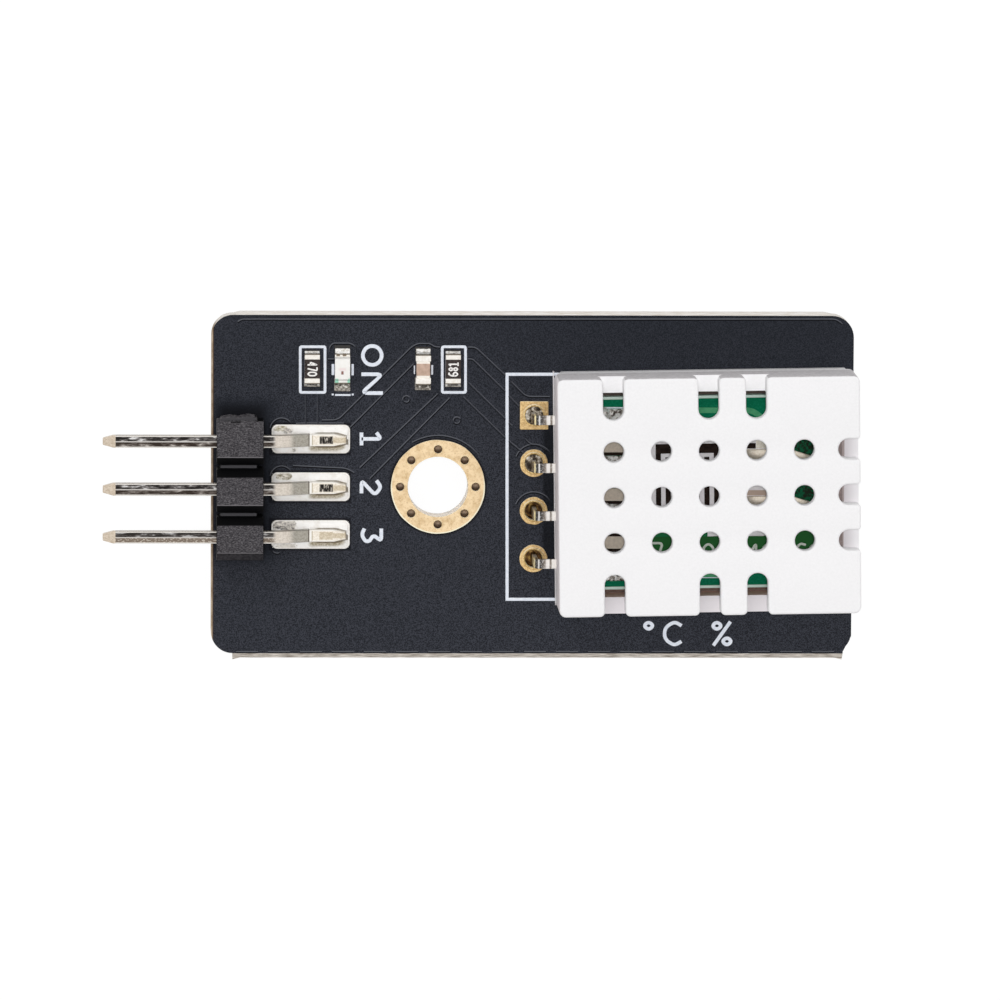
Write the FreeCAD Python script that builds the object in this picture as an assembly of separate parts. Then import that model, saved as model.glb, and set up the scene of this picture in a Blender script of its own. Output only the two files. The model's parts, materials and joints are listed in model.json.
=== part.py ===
import FreeCAD, Part
import math
import os

# Temperature and humidity sensor module, in millimetres.
# The origin is the centre of the mounting hole on the underside of the circuit board.
# X runs along the board from the pin header to the sensor, Z is up.

# Circuit board
board_length = 34.0
board_width = 18.0
board_thickness = 1.6
hole_to_header_edge = 12.0
hole_off_middle = 0.12
board_corner_radius = 1.15
broken_corner_inset = 0.44
broken_corner_foot = 0.1
broken_corner_rise = 0.93
copper = 0.05
barrel_wall = 0.05
pad_sides = 16
via_sides = 8

# Snapped score line along both long edges: a torn front one with ears, a cleaner back one
score_depth = 0.55
front_web_reach = 0.3
back_web_reach = 0.13
web_ear_reach = 0.12
web_end_length = 0.4

# Mounting ring with its circle of small plated holes
mount_bore = 3.2
ring_width = 0.9
ring_via_bore = 0.44
ring_via_circle = 4.0
ring_via_count = 8

# Right-angle pin header, soldered flat on the board
pin_pitch = 2.54
header_pins = 3
pin_size = 0.64
housing_inset = 0.27
housing_length = 2.47
housing_height = 2.54
housing_flat = 1.47
housing_web_gap = 0.24
housing_web_drop = 0.55
housing_web_front = 0.2
housing_web_rear = 0.34
housing_web_root = 0.2
break_stub = 0.26
break_profile = [0.5, 0.8, 0.6, 1.0, 0.7]
pin_reach = 6.0
pin_tip_length = 0.55
pin_tip_size = 0.36
pin_rear_run = 0.86
pin_slope_run = 1.7
pin_foot_length = 1.82
pin_toe_length = 0.65
pin_bend_radius = 0.6
header_land_length = 4.15
header_land_width = 1.53
header_land_inset = 3.19
header_land_radius = 0.3
header_solder_height = 0.42
header_solder_margin = 0.06
solder_waist_level = 0.33
solder_waist_run = 0.33
solder_waist_side = 0.5

# Row of chips, with places measured from the mounting hole
chip_row_y = 6.3
resistor_1_x = -6.68
led_x = -5.08
capacitor_x = -0.82
resistor_2_x = 0.77
chip_length = 1.6
chip_width = 0.8
chip_band = 0.3
chip_plating = 0.04
chip_land_gap = 1.0
chip_land_width = 0.84
resistor_height = 0.45
resistor_land_span = 1.96
capacitor_height = 0.8
capacitor_band = 0.36
capacitor_corner_cut = 0.06
capacitor_land_span = 2.3
led_board_height = 0.24
led_lens_height = 0.36
led_lens_length = 1.28
led_lens_taper = 0.1
led_die_size = 0.24
led_die_height = 0.1
led_land_span = 2.44
fillet_hollow = 0.35

# Four plated holes for the sensor
sensor_holes_x = 5.08
sensor_pins = 4
sensor_land = 1.5
sensor_drill = 1.0

# Sensor housing, in its own frame on the board, turned by a small skew
sensor_from_holes = 1.06
sensor_centre_y = 0.08
sensor_skew = 0.9
sensor_length = 15.88
sensor_width = 12.55
sensor_height = 5.5
sensor_base_height = 1.8
sensor_wall = 0.87
sensor_face = 0.8
sensor_corner_radius = 0.35
sensor_edge_cut = 0.15
base_inset = 0.08
base_floor = 0.7
base_lip = 0.4
base_lip_height = 0.5
base_lip_clearance = 0.06

# Grille of round holes, and slots open at three sides
grille_columns = 5
grille_rows = 3
grille_pitch_x = 2.5
grille_pitch_y = 2.4
grille_bore = 1.07
slot_width = 1.09
side_slot_reach = 2.205
end_slot_reach = 1.07
slot_drop = 1.5
slot_mouth_cut = 0.3
slot_columns = [0, 2, 3]

# Circuit board inside the sensor
inner_board_top = 3.1
inner_board_thickness = 0.8
inner_board_end_gap = 0.35
inner_board_side_gap = 0.305
inner_post_size = 1.0
inner_drill = 0.7
inner_joint_width = 1.55
inner_joint_length = 1.7
inner_joint_height = 0.4
inner_joint_cut = 0.25
inner_joint_steps = [(0.0, 1.0), (0.7, 0.8), (1.0, 0.4)]

# Sensor pins of flat wire
wire_width = 0.5
wire_thickness = 0.25
wire_bend_radius = 0.35
wire_level = 2.1
wire_notch_clearance = 0.05
wire_inner_run = 2.1
wire_stub_above = 0.2
wire_stub_below = 1.25

# Solder of the sensor pins in the board
joint_cone_height = 0.85
joint_cone_top = 0.3
joint_cone_margin = 0.06
joint_fill_crown = 0.05
joint_full_pins = 2
joint_part_fill = 0.55

# Humidity element with its comb electrodes and two flat leads
element_length = 6.3
element_width = 5.25
element_thickness = 0.6
element_x = 0.1
element_y = 0.33
comb_thickness = 0.03
comb_bus = 0.5
comb_finger = 0.27
comb_pitch = 0.51
comb_gap = 0.2
comb_margin = 0.33
comb_fingers = 8
lead_width = 0.55
lead_thickness = 0.25
lead_pitch = 2.46
lead_overlap = 1.2
lead_run = 1.15
lead_end_margin = 0.82
lead_slant_drop = 0.5
lead_middle_y = 0.77

# Thermistor chip and controller chip inside the sensor
thermistor_from_end = 1.72
thermistor_from_side = 1.1
thermistor_height = 0.55
controller_x = 0.9
controller_length = 4.9
controller_width = 3.9
controller_height = 1.3
controller_draft = 0.11
controller_legs = 4
controller_leg_pitch = 1.27
controller_leg_width = 0.42
controller_leg_thickness = 0.2
controller_leg_reach = 1.05
controller_stand_off = 0.1

# Places worked out from the sizes above
board_top = board_thickness
board_left = -hole_to_header_edge
board_right = board_left + board_length
board_back = board_width / 2 + hole_off_middle
board_front = board_back - board_width
land_top = board_top + copper
land_bottom = -copper
mount_radius = mount_bore / 2
ring_radius = mount_radius + ring_width
housing_left = board_left + housing_inset
housing_right = housing_left + housing_length
header_pin_level = board_top + housing_height / 2
header_foot_level = land_top + pin_size / 2
foot_start_x = housing_right + pin_rear_run + pin_slope_run
foot_end_x = foot_start_x + pin_foot_length
header_land_left = board_left + header_land_inset
header_land_right = header_land_left + header_land_length
led_height = led_board_height + led_lens_height
inner_floor = inner_board_top - inner_board_thickness
inner_board_length = sensor_length - 2 * (sensor_wall + inner_board_end_gap)
inner_board_width = sensor_width - 2 * (sensor_wall + inner_board_side_gap)
element_top = inner_board_top + element_thickness
slot_floor = sensor_height - slot_drop
sensor_centre_x = sensor_holes_x + sensor_from_holes + sensor_length / 2
wire_rise = wire_thickness / 2 + wire_notch_clearance


# Helpers
def vec(x, y, z=0.0):
    return FreeCAD.Vector(x, y, z)


def box(x0, x1, y0, y1, z0, z1):
    """Box between two corners."""
    return Part.makeBox(x1 - x0, y1 - y0, z1 - z0, vec(x0, y0, z0))


def cylinder(x, y, z0, z1, radius):
    """Upright cylinder between two levels."""
    return Part.makeCylinder(radius, z1 - z0, vec(x, y, z0))


def prism(points, direction):
    """Straight prism over a flat outline given by its corners."""
    outline = Part.makePolygon(points + [points[0]])
    return Part.Face(outline).extrude(direction)


def rounded_wire(x0, x1, y0, y1, radius, z):
    """Rectangle with round corners, as one closed wire."""
    edges = []
    corners = [(x1, y1, 0.0), (x0, y1, 90.0), (x0, y0, 180.0), (x1, y0, 270.0)]
    last = None
    first = None
    for x, y, start in corners:
        cx = x - radius if x == x1 else x + radius
        cy = y - radius if y == y1 else y + radius
        arc = Part.makeCircle(radius, vec(cx, cy, z), vec(0, 0, 1), start, start + 90.0)
        begin = arc.valueAt(arc.FirstParameter)
        if last is not None:
            edges.append(Part.makeLine(last, begin))
        else:
            first = begin
        edges.append(arc)
        last = arc.valueAt(arc.LastParameter)
    edges.append(Part.makeLine(last, first))
    return Part.Wire(edges)


def cut_corner_wire(x0, x1, y0, y1, cut, z):
    """Rectangle with its corners cut straight, as one closed wire."""
    points = []
    for x, y, dx, dy in [(x0, y0, 1, 1), (x1, y0, -1, 1), (x1, y1, -1, -1), (x0, y1, 1, -1)]:
        beside = vec(x + dx * cut, y, z)
        above = vec(x, y + dy * cut, z)
        points += [above, beside] if dx == dy else [beside, above]
    return Part.makePolygon(points + [points[0]])


def many_sided_wire(x, y, z, radius, sides):
    """Regular polygon that stands for a small circle and keeps the model light."""
    points = []
    for i in range(sides):
        angle = 2 * math.pi * (i + 0.5) / sides
        points.append(vec(x + radius * math.cos(angle), y + radius * math.sin(angle), z))
    return Part.makePolygon(points + [points[0]])


def small_round(x, y, z0, z1, radius, sides):
    """Small upright round bar between two levels."""
    return Part.Face(many_sided_wire(x, y, z0, radius, sides)).extrude(vec(0, 0, z1 - z0))


def rounded_box(x0, x1, y0, y1, z0, z1, radius):
    """Box with round upright edges."""
    return Part.Face(rounded_wire(x0, x1, y0, y1, radius, z0)).extrude(vec(0, 0, z1 - z0))


def spaced(count, pitch):
    """Places of a row of copies, centred on zero, from the highest down."""
    return [pitch * ((count - 1) / 2 - i) for i in range(count)]


def bent_path(points, radius):
    """Straight runs joined by tangent arcs of one radius."""
    edges = []
    start = points[0]
    for before, corner, after in zip(points, points[1:], points[2:]):
        into = (corner - before).normalize()
        out = (after - corner).normalize()
        turn = into.getAngle(out)
        reach = radius * math.tan(turn / 2)
        arc_start = corner - into * reach
        arc_end = corner + out * reach
        inward = (out - into).normalize()
        centre = corner + inward * (radius / math.cos(turn / 2))
        middle = centre - inward * radius
        edges.append(Part.makeLine(start, arc_start))
        edges.append(Part.Arc(arc_start, middle, arc_end).toShape())
        start = arc_end
    edges.append(Part.makeLine(start, points[-1]))
    return Part.Wire(edges)


def bent_bar(points, radius, width, thickness):
    """Bar of rectangular section bent in an upright plane along X."""
    path = bent_path(points, radius)
    along = (points[1] - points[0]).normalize()
    across = vec(0, 1, 0)
    side = along.cross(across)
    centre = points[0]
    corners = []
    for a, b in [(-1, -1), (1, -1), (1, 1), (-1, 1)]:
        corners.append(centre + across * (a * width / 2) + side * (b * thickness / 2))
    section = Part.makePolygon(corners + [corners[0]])
    return path.makePipeShell([section], True, False)


def export(name, shape):
    """Write one piece and report it."""
    if not shape.isValid():
        raise ValueError(name + " isn't a valid shape")
    shape.exportStep("parts/" + name + ".step")
    print(name, "solids", len(shape.Solids), "volume", round(shape.Volume, 4))


# Circuit board
def score_web(edge_y, side, reach, end_reach, right):
    """Broken web of a score line past one long edge; at its ends it stands out by end_reach."""
    inner = edge_y - side * board_corner_radius
    outer = edge_y + side * reach
    end = edge_y + side * end_reach
    left = board_left + board_corner_radius
    plan = [
        vec(left, inner, 0),
        vec(left, end, 0),
        vec(left + web_end_length, outer, 0),
        vec(right - web_end_length, outer, 0),
        vec(right, end, 0),
        vec(right, inner, 0),
    ]
    slab = prism(plan, vec(0, 0, board_thickness))
    widest = max(reach, end_reach)
    drop = score_depth * widest / reach
    section = [
        vec(left, inner, 0),
        vec(left, edge_y, 0),
        vec(left, edge_y + side * widest, drop),
        vec(left, edge_y + side * widest, board_thickness - drop),
        vec(left, edge_y, board_thickness),
        vec(left, inner, board_thickness),
    ]
    wedge = prism(section, vec(right - left, 0, 0))
    return slab.common(wedge)


def broken_corner():
    """Corner that wasn't milled round and snapped off unevenly."""
    inset = board_right - broken_corner_inset
    inner_x = board_right - board_corner_radius
    inner_y = board_front + board_corner_radius
    return prism([
        vec(inner_x, board_front, 0),
        vec(inset, board_front, 0),
        vec(inset, board_front + broken_corner_foot, 0),
        vec(board_right, board_front + broken_corner_rise, 0),
        vec(board_right, inner_y, 0),
        vec(inner_x, inner_y, 0),
    ], vec(0, 0, board_thickness))


def sensor_hole_places():
    return [(sensor_holes_x, y) for y in spaced(sensor_pins, pin_pitch)]


def ring_via_places():
    places = []
    for i in range(ring_via_count):
        angle = 2 * math.pi * i / ring_via_count
        places.append((ring_via_circle / 2 * math.cos(angle), ring_via_circle / 2 * math.sin(angle)))
    return places


def circuit_board():
    board = rounded_box(board_left, board_right, board_front, board_back, 0, board_top,
                        board_corner_radius)
    back_right = board_right - board_corner_radius
    front_right = board_right - broken_corner_inset
    front_end = front_web_reach + web_ear_reach
    board = board.fuse([
        score_web(board_back, 1, back_web_reach, 0, back_right),
        score_web(board_front, -1, front_web_reach, front_end, front_right),
        broken_corner(),
    ])
    drills = [cylinder(0, 0, 0, board_top, mount_radius)]
    for x, y in ring_via_places():
        drills.append(small_round(x, y, 0, board_top, ring_via_bore / 2 + barrel_wall, via_sides))
    for x, y in sensor_hole_places():
        drills.append(small_round(x, y, 0, board_top, sensor_drill / 2 + barrel_wall, pad_sides))
    return board.cut(drills).removeSplitter()


def barrel(x, y, bore, sides):
    """Plating down a small drilled hole, solid before its bore is cut."""
    return small_round(x, y, land_bottom, land_top, bore / 2 + barrel_wall, sides)


def mounting_ring():
    """Land on both sides of the board, joined down its circle of small plated holes."""
    lands = [cylinder(0, 0, board_top, land_top, ring_radius)]
    lands.append(cylinder(0, 0, land_bottom, 0, ring_radius))
    bores = [cylinder(0, 0, land_bottom, land_top, mount_radius)]
    for x, y in ring_via_places():
        lands.append(barrel(x, y, ring_via_bore, via_sides))
        bores.append(small_round(x, y, land_bottom, land_top, ring_via_bore / 2, via_sides))
    return lands[0].fuse(lands[1:]).cut(bores).removeSplitter()


def sensor_pad(index):
    """Plated hole with a land on both sides; the first land is square."""
    x, y = sensor_hole_places()[index]
    half = sensor_land / 2
    levels = [(board_top, land_top), (land_bottom, 0)]
    if index == 0:
        lands = [box(x - half, x + half, y - half, y + half, z0, z1) for z0, z1 in levels]
    else:
        lands = [small_round(x, y, z0, z1, half, pad_sides) for z0, z1 in levels]
    pad = barrel(x, y, sensor_drill, pad_sides).fuse(lands)
    bore = small_round(x, y, land_bottom, land_top, sensor_drill / 2, pad_sides)
    return pad.cut(bore).removeSplitter()


# Pin header
def header_rows():
    return spaced(header_pins, pin_pitch)


def header_pad(y):
    half = header_land_width / 2
    outline = cut_corner_wire(header_land_left, header_land_right, y - half, y + half,
                              header_land_radius / 2, board_top)
    return Part.Face(outline).extrude(vec(0, 0, copper))


def housing_block(y, next_gap_low, next_gap_high):
    """One position of the housing, an eight-sided bar that ends at the gaps beside it."""
    low = y - pin_pitch / 2 + next_gap_low
    high = y + pin_pitch / 2 - next_gap_high
    flat = housing_flat / 2
    side_low = y - flat - low
    side_high = high - y - flat
    top = board_top + housing_height
    points = [
        vec(housing_left, y - flat, board_top),
        vec(housing_left, y + flat, board_top),
        vec(housing_left, high, board_top + side_high),
        vec(housing_left, high, top - side_high),
        vec(housing_left, y + flat, top),
        vec(housing_left, y - flat, top),
        vec(housing_left, low, top - side_low),
        vec(housing_left, low, board_top + side_low),
    ]
    return prism(points, vec(housing_length, 0, 0))


def break_remnant(edge_y):
    """Uneven stump where the next position of the header strip was snapped off."""
    x0 = housing_left + housing_web_front
    x1 = housing_right - housing_web_rear
    step = (x1 - x0) / (len(break_profile) - 1)
    plan = [vec(x0, edge_y - housing_web_root, 0)]
    for i, share in enumerate(break_profile):
        plan.append(vec(x0 + i * step, edge_y + share * break_stub, 0))
    plan.append(vec(x1, edge_y - housing_web_root, 0))
    stump = prism(plan, vec(0, 0, housing_height - 2 * housing_web_drop))
    stump.translate(vec(0, 0, board_top + housing_web_drop))
    return stump


def header_housing():
    rows = header_rows()
    half_gap = housing_web_gap / 2
    blocks = [housing_block(y, half_gap, half_gap) for y in rows]
    x0 = housing_left + housing_web_front
    x1 = housing_right - housing_web_rear
    z0 = board_top + housing_web_drop
    z1 = board_top + housing_height - housing_web_drop
    webs = []
    reach = half_gap + housing_web_root
    for y in rows[1:]:
        middle = y + pin_pitch / 2
        webs.append(box(x0, x1, middle - reach, middle + reach, z0, z1))
    webs.append(break_remnant(rows[0] + pin_pitch / 2 - half_gap))
    housing = blocks[0].fuse(blocks[1:] + webs)
    half = pin_size / 2
    for y in rows:
        housing = housing.cut(box(housing_left, housing_right, y - half, y + half,
                                  header_pin_level - half, header_pin_level + half))
    return housing.removeSplitter()


def rectangle(x, y, z, size_x, size_y):
    """Level rectangle around a centre."""
    points = []
    for a, b in [(-1, -1), (1, -1), (1, 1), (-1, 1)]:
        points.append(vec(x + a * size_x / 2, y + b * size_y / 2, z))
    return Part.makePolygon(points + [points[0]])


def square_wire(x, y, z, size_y, size_z):
    """Upright rectangle across the pin, for a tapered end."""
    points = []
    for a, b in [(-1, -1), (1, -1), (1, 1), (-1, 1)]:
        points.append(vec(x, y + a * size_y / 2, z + b * size_z / 2))
    return Part.makePolygon(points + [points[0]])


def header_pin(y):
    """Square gull-wing pin with a tapered tip and a tapered toe."""
    tip_end = housing_left - pin_reach
    shank_start = tip_end + pin_tip_length
    toe_start = foot_end_x - pin_toe_length
    shank = bent_bar([
        vec(shank_start, y, header_pin_level),
        vec(housing_right + pin_rear_run, y, header_pin_level),
        vec(foot_start_x, y, header_foot_level),
        vec(toe_start, y, header_foot_level),
    ], pin_bend_radius, pin_size, pin_size)
    tip = Part.makeLoft([
        square_wire(tip_end, y, header_pin_level, pin_tip_size, pin_tip_size),
        square_wire(shank_start, y, header_pin_level, pin_size, pin_size),
    ], True, True)
    toe = Part.makeLoft([
        square_wire(toe_start, y, header_foot_level, pin_size, pin_size),
        square_wire(foot_end_x, y, header_foot_level, pin_tip_size, pin_size),
    ], True, True)
    return shank.fuse([tip, toe]).removeSplitter()


def header_solder(y, pin):
    """Solder on one header land, drawn up around the pin's foot."""
    margin = header_solder_margin
    half = header_land_width / 2 - margin
    left = header_land_left + margin
    right = header_land_right - margin
    inner = pin_size / 2 + margin
    heel = foot_start_x - pin_slope_run / 2
    toe = foot_end_x + margin
    waist_left = left + (heel - left) * solder_waist_run
    waist_right = right + (toe - right) * solder_waist_run
    waist_half = half + (inner - half) * solder_waist_side
    waist_level = land_top + header_solder_height * solder_waist_level
    cut = (header_land_radius - margin) / 2
    sections = [
        cut_corner_wire(left, right, y - half, y + half, cut, land_top),
        cut_corner_wire(waist_left, waist_right, y - waist_half, y + waist_half, cut, waist_level),
        cut_corner_wire(heel, toe, y - inner, y + inner, cut, land_top + header_solder_height),
    ]
    mound = Part.makeLoft(sections, True, True)
    return mound.cut(pin).removeSplitter()


# Chips
def chip_lands(x, span):
    half = chip_land_width / 2
    lands = []
    for side in (-1, 1):
        y0, y1 = sorted([chip_row_y + side * chip_land_gap / 2, chip_row_y + side * span / 2])
        lands.append(box(x - half, x + half, y0, y1, board_top, land_top))
    return lands


def end_caps(x, y, z, height, band):
    """Pair of metal caps that wrap the bottom, end and top of a chip."""
    caps = []
    for side in (-1, 1):
        end = y + side * chip_length / 2
        start = end - side * band
        inner = end - side * chip_plating
        points = [
            vec(x - chip_width / 2, start, z),
            vec(x - chip_width / 2, end, z),
            vec(x - chip_width / 2, end, z + height),
            vec(x - chip_width / 2, start, z + height),
            vec(x - chip_width / 2, start, z + height - chip_plating),
            vec(x - chip_width / 2, inner, z + height - chip_plating),
            vec(x - chip_width / 2, inner, z + chip_plating),
            vec(x - chip_width / 2, start, z + chip_plating),
        ]
        caps.append(prism(points, vec(chip_width, 0, 0)))
    return caps


def chip_core(x, y, z, height):
    """Chip without the thickness of its end caps."""
    half = chip_length / 2 - chip_plating
    return box(x - chip_width / 2, x + chip_width / 2, y - half, y + half,
               z + chip_plating, z + height - chip_plating)


def resistor_coat(x):
    half = chip_length / 2 - chip_band
    top = land_top + resistor_height
    return box(x - chip_width / 2, x + chip_width / 2, chip_row_y - half, chip_row_y + half,
               top - chip_plating, top)


def capacitor():
    """Ceramic body and the two metal ends that wrap five sides of it."""
    z = land_top
    half_l = chip_length / 2
    half_w = chip_width / 2
    outline = cut_corner_wire(capacitor_x - half_w, capacitor_x + half_w, chip_row_y - half_l,
                              chip_row_y + half_l, capacitor_corner_cut, z)
    outer = Part.Face(outline).extrude(vec(0, 0, capacitor_height))
    body = box(capacitor_x - half_w + chip_plating, capacitor_x + half_w - chip_plating,
               chip_row_y - half_l + chip_plating, chip_row_y + half_l - chip_plating,
               z + chip_plating, z + capacitor_height - chip_plating)
    ends = []
    for side in (-1, 1):
        y0, y1 = sorted([chip_row_y + side * (half_l - capacitor_band), chip_row_y + side * half_l])
        zone = box(capacitor_x - chip_width, capacitor_x + chip_width, y0, y1,
                   z, z + capacitor_height)
        ends.append(outer.common(zone).cut(body))
    return body, Part.makeCompound(ends)


def led_board():
    return chip_core(led_x, chip_row_y, land_top, led_board_height)


def led_die():
    half = led_die_size / 2
    z = land_top + led_board_height
    return box(led_x - half, led_x + half, chip_row_y - half, chip_row_y + half,
               z - chip_plating, z - chip_plating + led_die_height)


def led_lens(die):
    """Moulded lens with sloped ends between the two end caps."""
    z = land_top + led_board_height - chip_plating
    top = land_top + led_height
    bottom = chip_length / 2 - chip_band
    half = led_lens_length / 2
    x0 = led_x - chip_width / 2
    points = [
        vec(x0, chip_row_y - bottom, z),
        vec(x0, chip_row_y + bottom, z),
        vec(x0, chip_row_y + bottom, z + chip_plating),
        vec(x0, chip_row_y + half, z + chip_plating),
        vec(x0, chip_row_y + half - led_lens_taper, top),
        vec(x0, chip_row_y - half + led_lens_taper, top),
        vec(x0, chip_row_y - half, z + chip_plating),
        vec(x0, chip_row_y - bottom, z + chip_plating),
    ]
    return prism(points, vec(chip_width, 0, 0)).cut(die)


def solder_fillet(x, span, height):
    """Hollow-faced solder wedges between a chip's ends and the ends of its lands."""
    wedges = []
    half = chip_width / 2
    for side in (-1, 1):
        y_chip = chip_row_y + side * chip_length / 2
        y_land = chip_row_y + side * span / 2
        reach = y_land - y_chip
        foot = vec(x - half, y_land, land_top)
        crown = vec(x - half, y_chip, land_top + height)
        corner = vec(x - half, y_chip, land_top)
        hollow = vec(x - half, y_chip + fillet_hollow * reach, land_top + fillet_hollow * height)
        outline = Part.Wire([
            Part.makeLine(corner, foot),
            Part.Arc(foot, hollow, crown).toShape(),
            Part.makeLine(crown, corner),
        ])
        wedges.append(Part.Face(outline).extrude(vec(chip_width, 0, 0)))
    return Part.makeCompound(wedges)


# Sensor, drawn with its own centre on the board's top and then put in place
def place_sensor(shape):
    """Turn a sensor piece by the skew and set it at the sensor's place on the board."""
    placed = shape.copy()
    placed.rotate(vec(0, 0, 0), vec(0, 0, 1), sensor_skew)
    placed.translate(vec(sensor_centre_x, sensor_centre_y, board_top))
    return placed


def wire_rows():
    """Rows of the sensor's pins in its own frame, in line with the holes in the board."""
    return spaced(sensor_pins, pin_pitch)


def wire_hole_x():
    """Distance of the plated holes from the sensor's centre, in the sensor's own frame."""
    return (sensor_holes_x - sensor_centre_x) / math.cos(math.radians(sensor_skew))


def wire_inner_x():
    return -sensor_length / 2 + wire_inner_run


def sensor_wire(y):
    """Flat wire from the inner board out through the wall, then down through the board."""
    half_t = wire_thickness / 2
    inner = wire_inner_x()
    run = bent_bar([
        vec(inner + half_t, y, wire_level),
        vec(wire_hole_x(), y, wire_level),
        vec(wire_hole_x(), y, -board_thickness - wire_stub_below),
    ], wire_bend_radius, wire_width, wire_thickness)
    riser = box(inner - half_t, inner + half_t, y - wire_width / 2, y + wire_width / 2,
                wire_level, inner_board_top + wire_stub_above)
    return run.fuse(riser).removeSplitter()


def wire_notches(low, high):
    """Slots for the wires through the end wall, between two levels."""
    notches = []
    half = wire_width / 2 + wire_notch_clearance
    end = wire_inner_x() + wire_thickness / 2 + wire_notch_clearance
    for y in wire_rows():
        notches.append(box(-sensor_length, end, y - half, y + half, low, high))
    return notches


def grille_places():
    places = []
    for x in spaced(grille_columns, grille_pitch_x):
        for y in spaced(grille_rows, grille_pitch_y):
            places.append((x, y))
    return places


def slot(x, y, angle, distance):
    """Slot from its round inner end out through the wall, with its mouth cut wider."""
    r = slot_width / 2
    z = slot_floor
    wide = r + slot_mouth_cut
    bend = distance - slot_mouth_cut
    out = distance + slot_width
    flank = Part.makePolygon([
        vec(0, -r, z),
        vec(bend, -r, z),
        vec(distance, -wide, z),
        vec(out, -wide, z),
        vec(out, wide, z),
        vec(distance, wide, z),
        vec(bend, r, z),
        vec(0, r, z),
    ])
    end = Part.Arc(vec(0, r, z), vec(-r, 0, z), vec(0, -r, z)).toShape()
    tool = Part.Face(Part.Wire(flank.Edges + [end])).extrude(vec(0, 0, slot_drop))
    tool.rotate(vec(0, 0, 0), vec(0, 0, 1), angle)
    tool.translate(vec(x, y, 0))
    return tool


def grille_slots():
    slots = []
    columns = spaced(grille_columns, -grille_pitch_x)
    radius = slot_width / 2
    reach = side_slot_reach - radius
    for i in slot_columns:
        for side in (-1, 1):
            start = side * (sensor_width / 2 - reach)
            slots.append(slot(columns[i], start, 90.0 * side, reach))
    reach = end_slot_reach - radius
    for y in spaced(grille_rows, grille_pitch_y):
        slots.append(slot(sensor_length / 2 - reach, y, 0.0, reach))
    return slots


def sensor_cover():
    half_l = sensor_length / 2
    half_w = sensor_width / 2
    shell = rounded_box(-half_l, half_l, -half_w, half_w, sensor_base_height, sensor_height,
                        sensor_corner_radius)
    rim = [e for e in shell.Edges
           if e.BoundBox.ZMin > sensor_height - sensor_edge_cut]
    shell = shell.makeChamfer(sensor_edge_cut, rim)
    cavity = box(-half_l + sensor_wall, half_l - sensor_wall,
                 -half_w + sensor_wall, half_w - sensor_wall,
                 sensor_base_height, sensor_height - sensor_face)
    bores = [cylinder(x, y, slot_floor, sensor_height, grille_bore / 2)
             for x, y in grille_places()]
    notches = wire_notches(sensor_base_height, wire_level + wire_rise)
    cover = shell.cut([cavity] + grille_slots() + bores + notches)
    return cover.removeSplitter()


def sensor_base():
    """Shallow tray with a lip inside the cover and corner posts under the inner board."""
    half_l = sensor_length / 2 - base_inset
    half_w = sensor_width / 2 - base_inset
    outline = cut_corner_wire(-half_l, half_l, -half_w, half_w, sensor_corner_radius, 0)
    tray = Part.Face(outline).extrude(vec(0, 0, sensor_base_height))
    inner_l = sensor_length / 2 - sensor_wall
    inner_w = sensor_width / 2 - sensor_wall
    lip_l = inner_l - base_lip_clearance
    lip_w = inner_w - base_lip_clearance
    lip = box(-lip_l, lip_l, -lip_w, lip_w, sensor_base_height,
              sensor_base_height + base_lip_height)
    well = box(-lip_l + base_lip, lip_l - base_lip, -lip_w + base_lip, lip_w - base_lip,
               base_floor, sensor_base_height + base_lip_height)
    posts = []
    for a in (-1, 1):
        for b in (-1, 1):
            x0, x1 = sorted([a * lip_l, a * (lip_l - inner_post_size)])
            y0, y1 = sorted([b * lip_w, b * (lip_w - inner_post_size)])
            posts.append(box(x0, x1, y0, y1, base_floor, inner_floor))
    base = tray.fuse(lip).cut(well).fuse(posts)
    notches = wire_notches(wire_level - wire_rise, sensor_base_height + base_lip_height)
    return base.cut(notches).removeSplitter()


def sensor_board():
    half_l = inner_board_length / 2
    half_w = inner_board_width / 2
    board = box(-half_l, half_l, -half_w, half_w, inner_floor, inner_board_top)
    drills = [small_round(wire_inner_x(), y, inner_floor, inner_board_top, inner_drill / 2,
                          via_sides) for y in wire_rows()]
    return board.cut(drills)


def inner_joint(y, wire):
    """Lump of solder on the inner board around the end of one wire."""
    x = wire_inner_x()
    sections = []
    for level, spread in inner_joint_steps:
        half_l = inner_joint_length / 2 * spread
        half_w = inner_joint_width / 2 * spread
        sections.append(cut_corner_wire(x - half_l, x + half_l, y - half_w, y + half_w,
                                        inner_joint_cut * spread,
                                        inner_board_top + inner_joint_height * level))
    half_board = inner_board_width / 2
    over_board = box(-inner_board_length / 2, inner_board_length / 2, -half_board, half_board,
                     inner_board_top, inner_board_top + inner_joint_height)
    return Part.makeLoft(sections, True, True).common(over_board).cut(wire).removeSplitter()


def humidity_element():
    half_l = element_length / 2
    half_w = element_width / 2
    return box(element_x - half_l, element_x + half_l, element_y - half_w, element_y + half_w,
               inner_board_top, element_top)


def comb_electrode(side):
    """One of two combs whose fingers lie between each other's, with its bus along the edge."""
    left = element_x - element_length / 2 + comb_margin
    edge = element_y + side * (element_width / 2 - comb_margin)
    far = element_y - side * (element_width / 2 - comb_margin - comb_bus - comb_gap)
    top = element_top + comb_thickness
    bus_inner = edge - side * comb_bus
    first = 0 if side > 0 else 1
    right = left + comb_pitch * (2 * (comb_fingers // 2) - 2 + 1) + comb_finger
    y0, y1 = sorted([edge, bus_inner])
    comb = box(left, right, y0, y1, element_top, top)
    fingers = []
    for i in range(first, comb_fingers, 2):
        x = left + i * comb_pitch
        y0, y1 = sorted([bus_inner, far])
        fingers.append(box(x, x + comb_finger, y0, y1, element_top, top))
    return comb.fuse(fingers).removeSplitter()


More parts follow.
